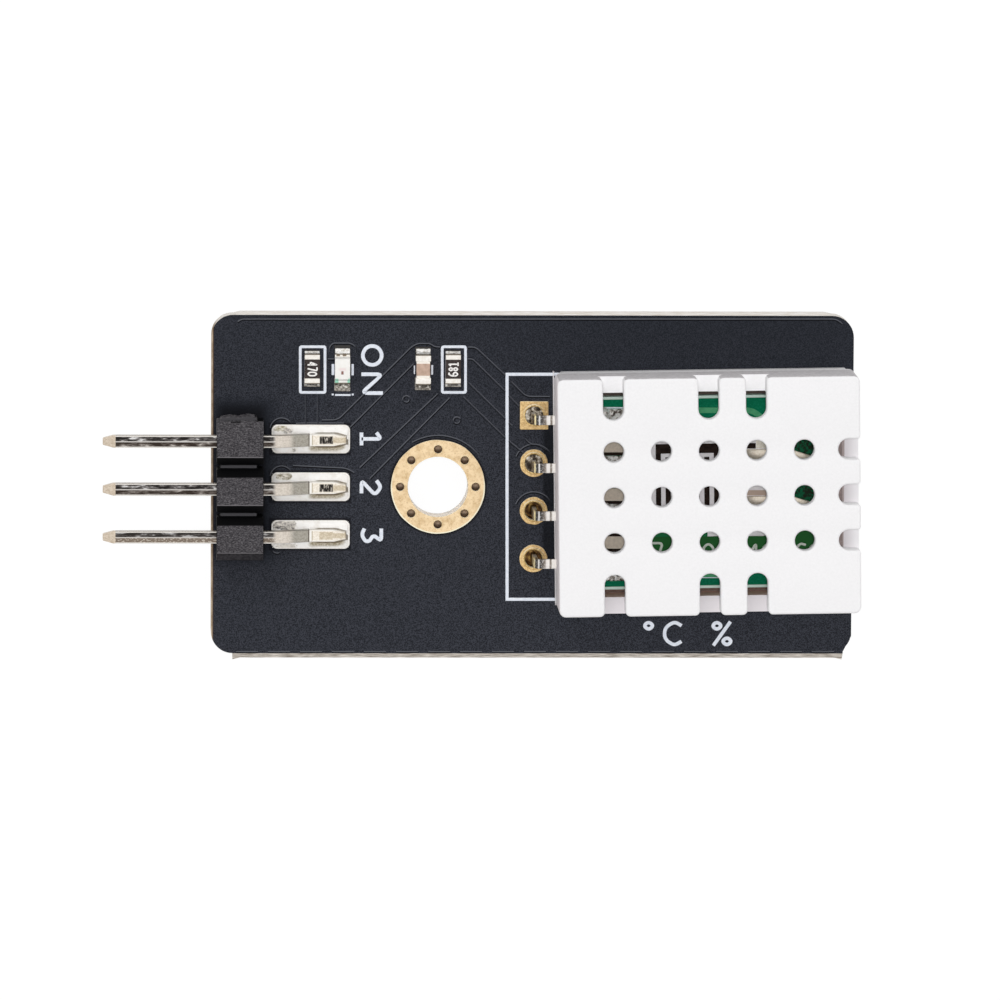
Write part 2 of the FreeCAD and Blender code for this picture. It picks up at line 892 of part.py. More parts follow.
def humidity_lead(y):
    """Flat stamped lead from the element's end down to the inner board."""
    right = element_x + element_length / 2
    start = right - lead_overlap
    straight = right + lead_run
    end = inner_board_length / 2 - lead_end_margin
    half = lead_width / 2
    plan = [
        vec(start, y - half, 0),
        vec(straight, y - half, 0),
        vec(end, y - half - lead_slant_drop, 0),
        vec(end, y + half - lead_slant_drop, 0),
        vec(straight, y + half, 0),
        vec(start, y + half, 0),
    ]
    strip = prism(plan, vec(0, 0, lead_thickness))
    strip.translate(vec(0, 0, element_top))
    foot_y = y - lead_slant_drop
    foot = box(end - lead_width, end, foot_y - half / 2, foot_y + half / 2,
               inner_board_top, element_top)
    return strip.fuse(foot).removeSplitter()


def thermistor():
    """Small ceramic chip and its two metal ends, on the inner board."""
    x = inner_board_length / 2 - thermistor_from_end
    y = inner_board_width / 2 - thermistor_from_side
    z = inner_board_top
    caps = end_caps(x, y, z, thermistor_height, chip_band)
    return chip_core(x, y, z, thermistor_height), Part.makeCompound(caps)


def controller_body():
    top = inner_floor - controller_stand_off
    middle = top - controller_height / 2
    draft = controller_draft
    halves = []
    for z_end in (top - controller_height, top):
        halves.append(Part.makeLoft([
            rectangle(controller_x, 0, middle, controller_length, controller_width),
            rectangle(controller_x, 0, z_end, controller_length - 2 * draft,
                      controller_width - 2 * draft),
        ], True, True))
    body = halves[0].fuse(halves[1])
    return body.cut(controller_legs_group()).removeSplitter()


def controller_legs_group():
    """Two rows of bent legs between the chip and the underside of the inner board."""
    legs = []
    level = inner_floor - controller_stand_off - controller_height / 2
    foot = inner_floor - controller_leg_thickness / 2
    half = controller_width / 2
    root = half - controller_leg_thickness
    shin = half + controller_leg_reach / 2
    toe = half + controller_leg_reach
    half_t = controller_leg_thickness / 2
    section = [
        (root, level - half_t),
        (shin + half_t, level - half_t),
        (shin + half_t, foot - half_t),
        (toe, foot - half_t),
        (toe, foot + half_t),
        (shin - half_t, foot + half_t),
        (shin - half_t, level + half_t),
        (root, level + half_t),
    ]
    for side in (-1, 1):
        for along in spaced(controller_legs, controller_leg_pitch):
            x = controller_x + along - controller_leg_width / 2
            outline = [vec(x, side * y, z) for y, z in section]
            legs.append(prism(outline, vec(controller_leg_width, 0, 0)))
    return Part.makeCompound(legs)


def pin_joint(index, wire):
    """Solder of one sensor pin: a cone under the board and a fill inside the plated hole."""
    x, y = sensor_hole_places()[index]
    fill_top = land_top + joint_fill_crown
    if index >= joint_full_pins:
        fill_top = board_top * joint_part_fill
    low = land_bottom - joint_cone_height
    joint = Part.makeLoft([
        many_sided_wire(x, y, low, joint_cone_top, pad_sides),
        many_sided_wire(x, y, land_bottom, sensor_land / 2 - joint_cone_margin, pad_sides),
    ], True, True)
    joint = joint.fuse(small_round(x, y, land_bottom, fill_top, sensor_drill / 2, pad_sides))
    return joint.cut(wire).removeSplitter()


def build():
    os.makedirs("parts", exist_ok=True)
    export("circuit_board", circuit_board())
    export("mounting_ring", mounting_ring())
    for i in range(sensor_pins):
        export("sensor_pad_%d" % (i + 1), sensor_pad(i))

    export("header_housing", header_housing())
    for i, y in enumerate(header_rows()):
        pin = header_pin(y)
        export("header_pad_%d" % (i + 1), header_pad(y))
        export("header_pin_%d" % (i + 1), pin)
        export("header_solder_%d" % (i + 1), header_solder(y, pin))

    lands = []
    for x, span in [(resistor_1_x, resistor_land_span), (led_x, led_land_span),
                    (capacitor_x, capacitor_land_span), (resistor_2_x, resistor_land_span)]:
        lands += chip_lands(x, span)
    export("chip_pads", Part.makeCompound(lands))
    for i, x in enumerate([resistor_1_x, resistor_2_x]):
        name = "resistor_%d_" % (i + 1)
        export(name + "body", chip_core(x, chip_row_y, land_top, resistor_height))
        export(name + "coat", resistor_coat(x))
        export(name + "ends", Part.makeCompound(
            end_caps(x, chip_row_y, land_top, resistor_height, chip_band)))
        export(name + "solder", solder_fillet(x, resistor_land_span, resistor_height / 2))
    capacitor_body, capacitor_ends = capacitor()
    export("capacitor_body", capacitor_body)
    export("capacitor_ends", capacitor_ends)
    export("capacitor_solder", solder_fillet(capacitor_x, capacitor_land_span,
                                             capacitor_height / 2))
    die = led_die()
    export("led_board", led_board())
    export("led_die", die)
    export("led_lens", led_lens(die))
    export("led_ends", Part.makeCompound(
        end_caps(led_x, chip_row_y, land_top, led_board_height, chip_band)))
    export("led_solder", solder_fillet(led_x, led_land_span, led_board_height))

    export("sensor_cover", place_sensor(sensor_cover()))
    export("sensor_base", place_sensor(sensor_base()))
    export("sensor_board", place_sensor(sensor_board()))
    export("humidity_element", place_sensor(humidity_element()))
    export("humidity_electrodes", place_sensor(Part.makeCompound(
        [comb_electrode(1), comb_electrode(-1)])))
    leads = [humidity_lead(lead_middle_y + y) for y in spaced(2, lead_pitch)]
    export("humidity_leads", place_sensor(Part.makeCompound(leads)))
    thermistor_body, thermistor_ends = thermistor()
    export("thermistor_body", place_sensor(thermistor_body))
    export("thermistor_ends", place_sensor(thermistor_ends))
    export("controller_body", place_sensor(controller_body()))
    export("controller_legs", place_sensor(controller_legs_group()))
    for i, y in enumerate(wire_rows()):
        wire = sensor_wire(y)
        placed = place_sensor(wire)
        export("sensor_pin_%d" % (i + 1), placed)
        export("inner_joint_%d" % (i + 1), place_sensor(inner_joint(y, wire)))
        export("pin_joint_%d" % (i + 1), pin_joint(i, placed))


build()
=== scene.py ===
import json
import math

import bmesh
import bpy
from mathutils import Matrix, Vector, noise
from mathutils.geometry import delaunay_2d_cdt


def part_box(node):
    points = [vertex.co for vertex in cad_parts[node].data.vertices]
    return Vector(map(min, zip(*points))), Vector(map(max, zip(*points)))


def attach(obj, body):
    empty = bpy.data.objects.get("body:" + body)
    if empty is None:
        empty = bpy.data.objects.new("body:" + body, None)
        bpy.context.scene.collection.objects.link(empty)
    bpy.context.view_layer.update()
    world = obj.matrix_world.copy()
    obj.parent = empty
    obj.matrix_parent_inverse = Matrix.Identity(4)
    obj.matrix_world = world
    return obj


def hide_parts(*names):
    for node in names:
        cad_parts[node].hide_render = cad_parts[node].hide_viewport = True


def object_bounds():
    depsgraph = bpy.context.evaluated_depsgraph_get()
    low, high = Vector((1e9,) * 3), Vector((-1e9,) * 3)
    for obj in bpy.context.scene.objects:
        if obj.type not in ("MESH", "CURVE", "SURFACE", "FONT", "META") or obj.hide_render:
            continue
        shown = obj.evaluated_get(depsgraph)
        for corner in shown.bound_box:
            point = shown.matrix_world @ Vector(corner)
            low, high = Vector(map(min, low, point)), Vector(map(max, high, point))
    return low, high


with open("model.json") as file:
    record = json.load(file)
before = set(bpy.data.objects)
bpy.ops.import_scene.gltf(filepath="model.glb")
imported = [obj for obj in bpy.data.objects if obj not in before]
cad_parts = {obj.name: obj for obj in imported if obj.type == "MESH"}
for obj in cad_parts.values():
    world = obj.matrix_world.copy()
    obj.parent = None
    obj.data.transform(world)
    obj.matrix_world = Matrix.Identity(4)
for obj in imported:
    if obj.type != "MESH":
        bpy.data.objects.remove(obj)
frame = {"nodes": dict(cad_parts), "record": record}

cad_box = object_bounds()

# Units and the photograph's camera, in millimetres and in pixels of the 1000 pixel picture.
MM = 0.001
PICTURE = 1000
SENSOR_CHIP = 36.0
CAMERA_DISTANCE = 500.0
CAMERA_TARGET = Vector((3.295, -0.699, 1.6))
CAMERA_SIDE = Vector((-0.0391, 0.1087, 1.0)).normalized()
CAMERA_ROLL = -0.0053
PIXELS_PER_MM = 18.879


def camera_axes():
    """Right, up and backward directions of the camera."""
    up = Vector((math.sin(CAMERA_ROLL), math.cos(CAMERA_ROLL), 0))
    right = up.cross(CAMERA_SIDE).normalized()
    return right, CAMERA_SIDE.cross(right), CAMERA_SIDE


def spot(u, v, level):
    """Point at a height over the frame's origin that the camera sees at a pixel of the photograph."""
    right, up, back = camera_axes()
    eye = CAMERA_TARGET + back * CAMERA_DISTANCE
    focal = PIXELS_PER_MM * CAMERA_DISTANCE
    ray = right * ((u - PICTURE / 2) / focal) - up * ((v - PICTURE / 2) / focal) - back
    return eye + ray * ((level - eye.z) / ray.z)


def column(u, level):
    """Place along the board that the camera sees at a column of the photograph's middle row."""
    return spot(u, 489, level).x


def box(node):
    """Lowest and highest corner of a CAD node in millimetres."""
    low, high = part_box(node)
    return low / MM, high / MM


def middle(node):
    low, high = box(node)
    return (low + high) / 2


# Places taken from the frame.
board_low, board_high = box("circuit_board")
board_top = board_high.z
ring_low, ring_high = box("mounting_ring")
land_top = ring_high.z
ring_radius = ring_high.x
housing_low, housing_high = box("header_housing")
land_low, land_high = box("header_pad_1")
land_half = (land_high.y - land_low.y) / 2
pin_rows = [middle("header_pin_%d" % i).y for i in (1, 2, 3)]
header_pitch = pin_rows[0] - pin_rows[1]
foot_end = box("header_pin_1")[1].x
pin_top = box("header_pin_1")[1].z
chip_row_y = middle("resistor_1_body").y
chip_columns = [middle("resistor_%d_body" % i).x for i in (1, 2)]
pad_low = box("sensor_pad_1")[0]
cover_low, cover_high = box("sensor_cover")
cover_middle = (cover_low + cover_high) / 2
inner_top = box("sensor_board")[1].z
element_top = box("humidity_element")[1].z

# Board, header and chips.
left_rim = 0.12
land_corner = 0.33
pin_half = 0.32
foot_top = land_top + 2 * pin_half
foot_start = foot_end - 1.82
flat_half = 0.735
chip_half = 0.8
via_circle = 2.0
via_radius = 0.22
via_count = 8
plug_drop = 0.22
mount_radius = 1.6
pad_bore = 0.5
barrel = 0.05

# Sensor, in its own frame on the board.
sensor_turn = math.radians(0.9)
sensor_level = board_top
inner_half_width = 5.1
grille_pitch_x = 2.5
grille_pitch_y = 2.4
grille_bore = 1.07
slot_width = 1.09
slot_columns = (-5.0, 0.0, 2.5)
side_slot_reach = 2.205
side_slot_mouth = 0.26
end_slot_reach = 1.16
end_slot_mouth = 0.14
slot_drop = 1.5
cover_length = 15.88
cover_width = 12.55
cover_height = 5.5
cover_base = 1.8
cover_wall = 0.87
cover_face = 0.8
cover_corner = 0.35
cover_rim = 0.12
flange_height = 0.6
gap_strip_half = 3.9
gap_strip_width = 0.26
gap_strip_height = 0.3


def own(x, y, z):
    """Point of the sensor's own frame, turned a little on the board."""
    c = math.cos(sensor_turn)
    s = math.sin(sensor_turn)
    return Vector((cover_middle.x + x * c - y * s, cover_middle.y + x * s + y * c,
                   sensor_level + z))


def rgb(r, g, b):
    """Linear colour of a screen colour given from 0 to 255."""
    out = []
    for value in (r, g, b):
        value /= 255
        out.append(value / 12.92 if value <= 0.04045 else ((value + 0.055) / 1.055) ** 2.4)
    return (*out, 1.0)


class Nodes:
    """Node tree that is built call by call."""

    def __init__(self, owner):
        owner.use_nodes = True
        self.tree = owner.node_tree
        self.tree.nodes.clear()

    def node(self, kind, values=(), **settings):
        """New node; each value is a socket, a field or a constant for an input."""
        made = self.tree.nodes.new("ShaderNode" + kind)
        for key, value in settings.items():
            setattr(made, key, value)
        for place, value in values:
            value = getattr(value, "socket", value)
            if isinstance(value, bpy.types.NodeSocket):
                self.tree.links.new(value, made.inputs[place])
            else:
                made.inputs[place].default_value = value
        return made

    def math(self, operation, a, b=0.0, c=0.0):
        return self.node("Math", [(0, a), (1, b), (2, c)], operation=operation).outputs[0]

    def seen(self):
        """Share of rays that see the plain white background."""
        rays = self.node("LightPath").outputs
        first = self.math("MAXIMUM", rays["Is Camera Ray"], rays["Is Glossy Ray"])
        return self.math("MAXIMUM", first, rays["Is Transmission Ray"])


class Field:
    """Number at each point of a surface; sums and products of fields add nodes."""

    def __init__(self, look, socket):
        self.look = look
        self.socket = socket

    def __add__(self, other):
        return self.look.calc("ADD", self, other)

    def __sub__(self, other):
        return self.look.calc("SUBTRACT", self, other)

    def __rsub__(self, other):
        return self.look.calc("SUBTRACT", other, self)

    def __mul__(self, other):
        return self.look.calc("MULTIPLY", self, other)

    def __truediv__(self, other):
        return self.look.calc("DIVIDE", self, other)

    def __abs__(self):
        return self.look.calc("ABSOLUTE", self)

    def scaled(self, low, high):
        """Stretches a value from 0 to 1 onto a range."""
        values = [(0, self), (1, 0.0), (2, 1.0), (3, low), (4, high)]
        return Field(self.look, self.look.node("MapRange", values).outputs[0])

    def over(self, at, soft):
        """0 below a place and 1 above it."""
        values = [(0, self), (1, at - soft), (2, at + soft), (3, 0.0), (4, 1.0)]
        made = self.look.node("MapRange", values, interpolation_type="SMOOTHSTEP")
        return Field(self.look, made.outputs[0])

    def under(self, at, soft):
        return 1.0 - self.over(at, soft)

    def within(self, low, high, soft):
        return self.over(low, soft) * self.under(high, soft)

    def blend(self, a, b, soft=0.2, at=0.5):
        """Colour a below a place and colour b above it."""
        return self.look.mix(self.over(at, soft), a, b)

    def tones(self, *stops):
        """Colour that runs through stops, each a value and a colour."""
        made = self.look.node("ValToRGB", [(0, self)])
        points = made.color_ramp.elements
        while len(points) < len(stops):
            points.new(0.5)
        for point, (at, colour) in zip(points, stops):
            point.position = at
            point.color = rgb(*colour)
        return made.outputs[0]


looks = {}


class Look(Nodes):
    """One material, with its places in millimetres and its colour painted layer by layer."""

    def __init__(self, name):
        self.name = name
        self.material = bpy.data.materials.new(name)
        super().__init__(self.material)
        seat = self.node("TexCoord").outputs["Object"]
        scale = self.node("VectorMath", [(0, seat), (3, 1 / MM)], operation="SCALE")
        self.place = scale.outputs[0]
        self.x, self.y, self.z = self.parts(self.place)
        self.nx, self.ny, self.nz = self.parts(self.node("NewGeometry").outputs["Normal"])
        self.colour = None

    def parts(self, vector):
        return [Field(self, out) for out in self.node("SeparateXYZ", [(0, vector)]).outputs]

    def calc(self, operation, a, b=0.0, c=0.0):
        return Field(self, self.math(operation, a, b, c))

    def most(self, first, *others):
        for other in others:
            first = self.calc("MAXIMUM", first, other)
        return first

    def length(self, a, b):
        return self.calc("SQRT", a * a + b * b)

    def patch(self, u0, v0, u1, v1, level, soft):
        """1 inside a rectangle given by pixels of the photograph on a level."""
        low = spot(u0, v1, level)
        high = spot(u1, v0, level)
        return self.x.within(low.x, high.x, soft) * self.y.within(low.y, high.y, soft)

    def from_pin(self):
        """Height in the picture over the middle line of the nearest header pin."""
        return self.calc("WRAP", self.y - pin_rows[1], header_pitch / 2, -header_pitch / 2)

    def from_hole(self):
        return self.length(self.x, self.y)

    def grain(self, size, stretch=(1, 1, 1), detail=3.0, roughness=0.6, shift=0.0):
        """Noise from 0 to 1 whose grains are about this many millimetres."""
        scales = [1 / (size * s) for s in stretch]
        place = self.node("VectorMath", [(0, self.place), (1, scales)], operation="MULTIPLY")
        values = [(0, place.outputs[0]), (1, (shift, shift, shift))]
        place = self.node("VectorMath", values, operation="ADD")
        values = [("Vector", place.outputs[0]), ("Scale", 1.0), ("Detail", detail),
                  ("Roughness", roughness)]
        return Field(self, self.node("TexNoise", values).outputs[0])

    def mix(self, share, a, b):
        """Colour a, and colour b where the share is 1. A colour is a socket or three numbers."""
        values = [(0, share)]
        for place, colour in ((6, a), (7, b)):
            values.append((place, rgb(*colour) if isinstance(colour, tuple) else colour))
        return self.node("Mix", values, data_type="RGBA").outputs[2]

    def paint(self, share, tone):
        """Lays a tone over the colour where the share is 1."""
        self.colour = self.mix(share, self.colour, tone)

    def mark(self, u0, v0, u1, v1, tone, level, soft=0.03, share=1.0):
        """Paints a rectangle given by pixels of the photograph on a level."""
        self.paint(self.patch(u0, v0, u1, v1, level, soft) * share, tone)

    def finish(self, height, roughness, metal=0.0, shine=0.3, depth=0.004):
        """Joins up the material, with fine relief from a height, and keeps it under its name."""
        values = [("Base Color", self.colour), ("Roughness", roughness), ("Metallic", metal),
                  ("Specular IOR Level", shine)]
        if height is not None:
            bump = self.node("Bump", [("Strength", 1.0), ("Distance", depth * MM),
                                      ("Height", height)])
            values.append(("Normal", bump.outputs[0]))
        self.node("OutputMaterial", [(0, self.node("BsdfPrincipled", values).outputs[0])])
        looks[self.name] = self.material


def mask_look(name, lines):
    """Black board mask with painted shade by the header, the cover, the header lands and the ring; on
    relief lines the slopes that face up the picture get a painted highlight and those that face down
    painted shade.
    """
    look = Look(name)
    fine = look.grain(0.06, roughness=0.85)
    look.colour = fine.blend((29, 31, 36), (62, 64, 72), 0.08)
    # Painted shade: darker towards the far corner, around the header and along the top edge.
    far_corner_shade = look.y.over(5.0, 3.5) * look.x.over(4.0, 9.0).scaled(0.35, 1.0)
    header_shade = (look.x.within(housing_low.x - 0.2, housing_high.x + 0.7, 0.7)
                 * look.y.within(housing_low.y - 0.3, housing_high.y + 0.7, 0.6))
    top_band_shade = look.y.over(spot(530, 320, board_top).y, 0.04)
    look.paint(look.most(far_corner_shade * 0.75, header_shade, top_band_shade * 0.6) * 0.75, (28, 31, 37))
    # Painted shadow of the sensor cover on the mask beside it.
    cover_shadow = (look.x.over(column(543, board_top), 0.12)
                * look.y.within(spot(543, 562, board_top).y, spot(543, 418, board_top).y, 0.4))
    look.paint(cover_shadow * 0.7, (12, 14, 17))
    # Painted shade close around the header housing.
    header_close_shade = (look.x.within(housing_low.x + 0.1, housing_high.x + 0.1, 0.35)
             * look.y.within(housing_low.y + 0.1, housing_high.y + 0.35, 0.4))
    look.paint(header_close_shade * 0.8, (15, 15, 18))
    # Painted shadow around the header lands.
    around = (look.x.within(land_low.x - 0.14, land_high.x + 0.06, 0.06)
              * abs(look.from_pin()).under(land_half + 0.1, 0.07)
              * look.y.within(pin_rows[2] - 1.2, pin_rows[0] + 1.2, 0.1))
    look.paint(around * 0.75, (14, 13, 18))
    # Painted shadow around the mounting ring.
    look.paint(look.from_hole().under(ring_radius + 0.1, 0.06) * 0.75, (14, 13, 16))
    if lines:
        # Painted highlight on relief slopes that face up the picture, painted shade on those that face
        # down.
        lit = look.ny + look.nx * -0.35
        look.paint(lit.over(0.12, 0.08), (88, 90, 96))
        look.paint((lit * -1.0).over(0.12, 0.08), (14, 15, 18))
        look.finish(fine, 0.6, shine=0.08)
        return
    top = look.z.over(board_top - 0.01, 0.005)
    face = look.x.over(board_low.x + left_rim, 0.01) * (top + look.z.under(0.01, 0.005))
    layers = look.grain(0.3, (2.5, 2.5, 0.3), 4.0)
    fibre = layers.tones((0.35, (140, 120, 98)), (0.65, (186, 168, 146)))
    north = layers.tones((0.35, (222, 214, 203)), (0.65, (252, 249, 246)))
    south = layers.tones((0.35, (140, 128, 116)), (0.65, (252, 244, 234)))
    fibre = look.mix(look.y.over(board_high.y - 0.6, 0.2), fibre, north)
    fibre = look.mix(look.y.under(board_low.y + 0.5, 0.1), fibre, south)
    near_hole = look.from_hole().under(mount_radius + 0.2, 0.05)
    fibre = look.mix(near_hole, fibre, (255, 250, 243))
    rim = look.x.within(board_low.x + left_rim - 0.04, board_low.x + left_rim + 0.02, 0.015)
    fibre = look.mix(rim * top, fibre, (84, 66, 52))
    look.colour = look.mix(face, fibre, look.colour)
    look.finish(fine, face.scaled(0.9, 0.6), near_hole * (1.0 - face) * 0.8, 0.08)


def gold_look():
    """Matte gold: mottled, with painted highlights on its edges, brightest on those that face up the
    picture, and painted shade, brown, down the holes.
    """
    look = Look("gold_plating")
    fine = look.grain(0.1, roughness=0.7)
    patches = look.grain(0.4, detail=5.0)
    look.colour = patches.blend((250, 222, 180), (224, 193, 148), 0.14, 0.53)
    look.paint(fine.over(0.57, 0.1) * 0.6, (252, 231, 190))
    look.paint(fine.under(0.42, 0.06) * 0.5, (190, 160, 116))
    pads = look.x.over(pad_low.x - 0.3, 0.1)
    look.paint(pads * 0.75, fine.blend((206, 168, 108), (248, 212, 146), 0.12))
    # Painted highlight on the edges; on the pads, painted shade on the edges that face down the
    # picture.
    edge = look.nz.under(0.93, 0.05) * look.z.over(board_top, 0.01)
    look.paint(edge * 0.7, (252, 234, 190))
    look.paint(edge * look.ny.over(0.3, 0.2), (255, 248, 226))
    look.paint(edge * look.ny.under(-0.3, 0.2), look.mix(pads, (255, 244, 208), (206, 172, 118)))
    # Painted highlight along the lower part of the ring's outer edge.
    outer = look.from_hole().over(ring_radius - 0.07, 0.02) * (1.0 - pads)
    look.paint(outer * look.y.under(0.4, 0.6), (255, 248, 222))
    lip = look.z.over(land_top + 0.03, 0.005) * pads
    look.paint(lip, fine.blend((252, 222, 160), (206, 172, 112), 0.1))
    # Painted shade: brown down the holes.
    look.paint(look.z.under(land_top - 0.14, 0.08), (150, 116, 70))
    look.finish(fine, 0.42, 0.85, 0.5, 0.006)


def crumpled_look():
    """Bright crumpled metal; the low parts of its folds are painted dark as shade."""
    look = Look("inner_solder")
    folds = look.grain(0.22, detail=4.0, roughness=0.65)
    look.colour = folds.tones((0.4, (96, 88, 82)), (0.46, (206, 198, 190)), (0.56, (255, 254, 252)))
    look.finish(folds, 0.35, 0.45, 0.5, 0.012)


# Rough patches on the three header lands: pixels of the photograph and their dark tone.
rough_patches = (
    (272, 425.5, 288, 431, (164, 155, 126)),
    (284, 429, 292, 434, (120, 112, 112)),
    (276, 473.5, 292, 480, (134, 124, 98)),
    (272, 519, 296, 529, (158, 152, 148)),
    (274, 526, 295, 530, (72, 68, 70)),
    (298, 528.4, 300.6, 530.4, (16, 14, 14)),
    (276, 544, 296, 550, (206, 200, 192)),
    (292, 448.5, 297, 451.5, (90, 82, 74)),
    (291, 545, 299, 547, (70, 60, 50)),
)


def pad_solder_look():
    """White solder of the header, with painted shade around the feet, a brown line and a greyer band
    below each, and a rough patch on each land.
    """
    look = Look("pad_solder")
    across = look.from_pin()
    fine = look.grain(0.09, detail=4.0, roughness=0.7)
    look.colour = look.grain(0.5).blend((255, 253, 250), (243, 239, 233), 0.15, 0.55)
    # Painted shade: a brown line around each pin's foot and a greyer band below it.
    beyond = abs(look.x - (foot_start + foot_end) / 2) - (foot_end - foot_start) / 2
    beside = abs(across) + look.x.over(foot_end - 0.2, 0.35) * 0.16 - pin_half
    out = look.most(beyond, beside) - across.under(0.0, 0.05) * 0.08
    line = out.within(-0.1, 0.05, 0.02) * look.x.over(foot_start + 0.25, 0.15)
    below_foot_shade = across.under(-pin_half, 0.03) * look.x.within(foot_start - 0.1, foot_end - 0.05, 0.15)
    look.paint(below_foot_shade * beside.under(0.3, 0.1), fine.blend((152, 140, 114), (204, 195, 178), 0.12))
    look.paint(line * fine.scaled(0.5, 1.1), (104, 90, 64))
    spread = (look.grain(0.2, detail=4.0) - 0.5) * 1.6
    speckle = look.grain(0.13, (1.4, 1, 1), 4.0, 0.7, 3.0)
    for u0, v0, u1, v1, dark in rough_patches:
        area = look.patch(u0, v0, u1, v1, land_top + 0.1, 0.16) + spread
        look.paint(area.over(0.5, 0.2), speckle.tones((0.4, dark), (0.6, (232, 226, 216))))
    look.finish(fine, 0.4, 0.25, 0.4, 0.006)


def land_look():
    """Tinned land of a header pin; the mask covers its corners."""
    look = Look("header_land")
    fine = look.grain(0.12, detail=4.0)
    look.colour = fine.blend((255, 252, 248), (238, 233, 226))
    half = (land_high.x - land_low.x) / 2
    dx = look.most(abs(look.x - (land_low.x + half)) - (half - land_corner), 0.0)
    dy = look.most(abs(look.from_pin()) - (land_half - land_corner), 0.0)
    look.paint(look.length(dx, dy).over(land_corner, 0.02), (24, 24, 28))
    look.finish(fine, 0.4, 0.25, 0.4)


def fillet_look():
    """Solder at the ends of the chip resistors: pale above; below, painted shade makes it dark between
    white corners.
    """
    look = Look("fillet_solder")
    fine = look.grain(0.1, detail=4.0, roughness=0.7)
    dark = fine.tones((0.36, (62, 58, 56)), (0.5, (116, 110, 106)), (0.66, (208, 205, 200)))
    pale = fine.blend((198, 192, 184), (248, 244, 238), 0.12)
    # Painted shade: dark below the row and on the upper fillets away from the chips.
    above = look.mix(abs(look.y - chip_row_y).over(chip_half + 0.2, 0.03), pale, dark)
    look.colour = look.mix(look.y.over(chip_row_y, 0.1), dark, above)
    dx = look.calc("MINIMUM", *[abs(look.x - x) for x in chip_columns])
    look.paint(dx.over(0.28, 0.04), (252, 250, 246))
    look.finish(fine, 0.3, 0.7, 0.5, 0.01)


# Marks on the ends of the chip light: pixels of the photograph and their tone.
end_marks = (
    (334, 379.5, 352, 383.6, (250, 249, 244)),
    (334.6, 380.5, 338.6, 383.6, (164, 222, 198)),
    (347.4, 380.5, 351.4, 383.6, (164, 222, 198)),
    (336.4, 354.4, 340, 356.2, (128, 114, 96)),
    (342.6, 354.4, 346.4, 356.2, (128, 114, 96)),
    (337.5, 383.6, 348, 385.6, (84, 74, 64)),
)


def chip_end_look():
    """Tinned chip end with a dark gold line at its foot; the light's ends have notches."""
    look = Look("chip_end")
    fine = look.grain(0.12, detail=4.0)
    look.colour = fine.blend((255, 252, 246), (240, 233, 223))
    for values in end_marks:
        look.mark(*values, box("led_ends")[1].z, 0.02)
    line = abs(look.y - chip_row_y).over(chip_half - 0.06, 0.012) * look.z.over(land_top + 0.1, 0.05)
    look.paint(line * 0.9, (96, 84, 66))
    look.finish(fine, 0.35, 0.5, 0.4)


def chip_solder_look():
    """Solder of the capacitor and the light: white above, dark and speckled below as painted shade."""
    look = Look("solder")
    patches = look.grain(0.16, detail=5.0)
    above = patches.blend((253, 251, 248), (214, 208, 198), 0.1, 0.55)
    below = patches.tones((0.42, (84, 78, 70)), (0.52, (158, 152, 142)), (0.62, (240, 236, 229)))
    look.colour = look.mix(look.y.over(chip_row_y, 0.1), below, above)
    look.finish(patches, 0.3, 0.5, 0.5, 0.01)


def chip_land_look():
    """Rim of the chips' lands, painted as shade: dark above, grey below."""
    look = Look("chip_land")
    fine = look.grain(0.1, detail=4.0)
    look.colour = fine.blend((112, 106, 98), (190, 184, 176), 0.12)
    look.paint(look.y.over(chip_row_y, 0.1), (58, 56, 54))
    look.finish(fine, 0.5, 0.3)


def capacitor_look():
    """Brown ceramic whose outer parts are covered by the tinned ends."""
    look = Look("capacitor_ceramic")
    fine = look.grain(0.25, detail=4.0)
    look.colour = fine.blend((206, 178, 160), (182, 155, 137))
    look.paint(abs(look.y - middle("capacitor_body").y).over(0.32, 0.01), (250, 244, 234))
    look.finish(fine, 0.5)


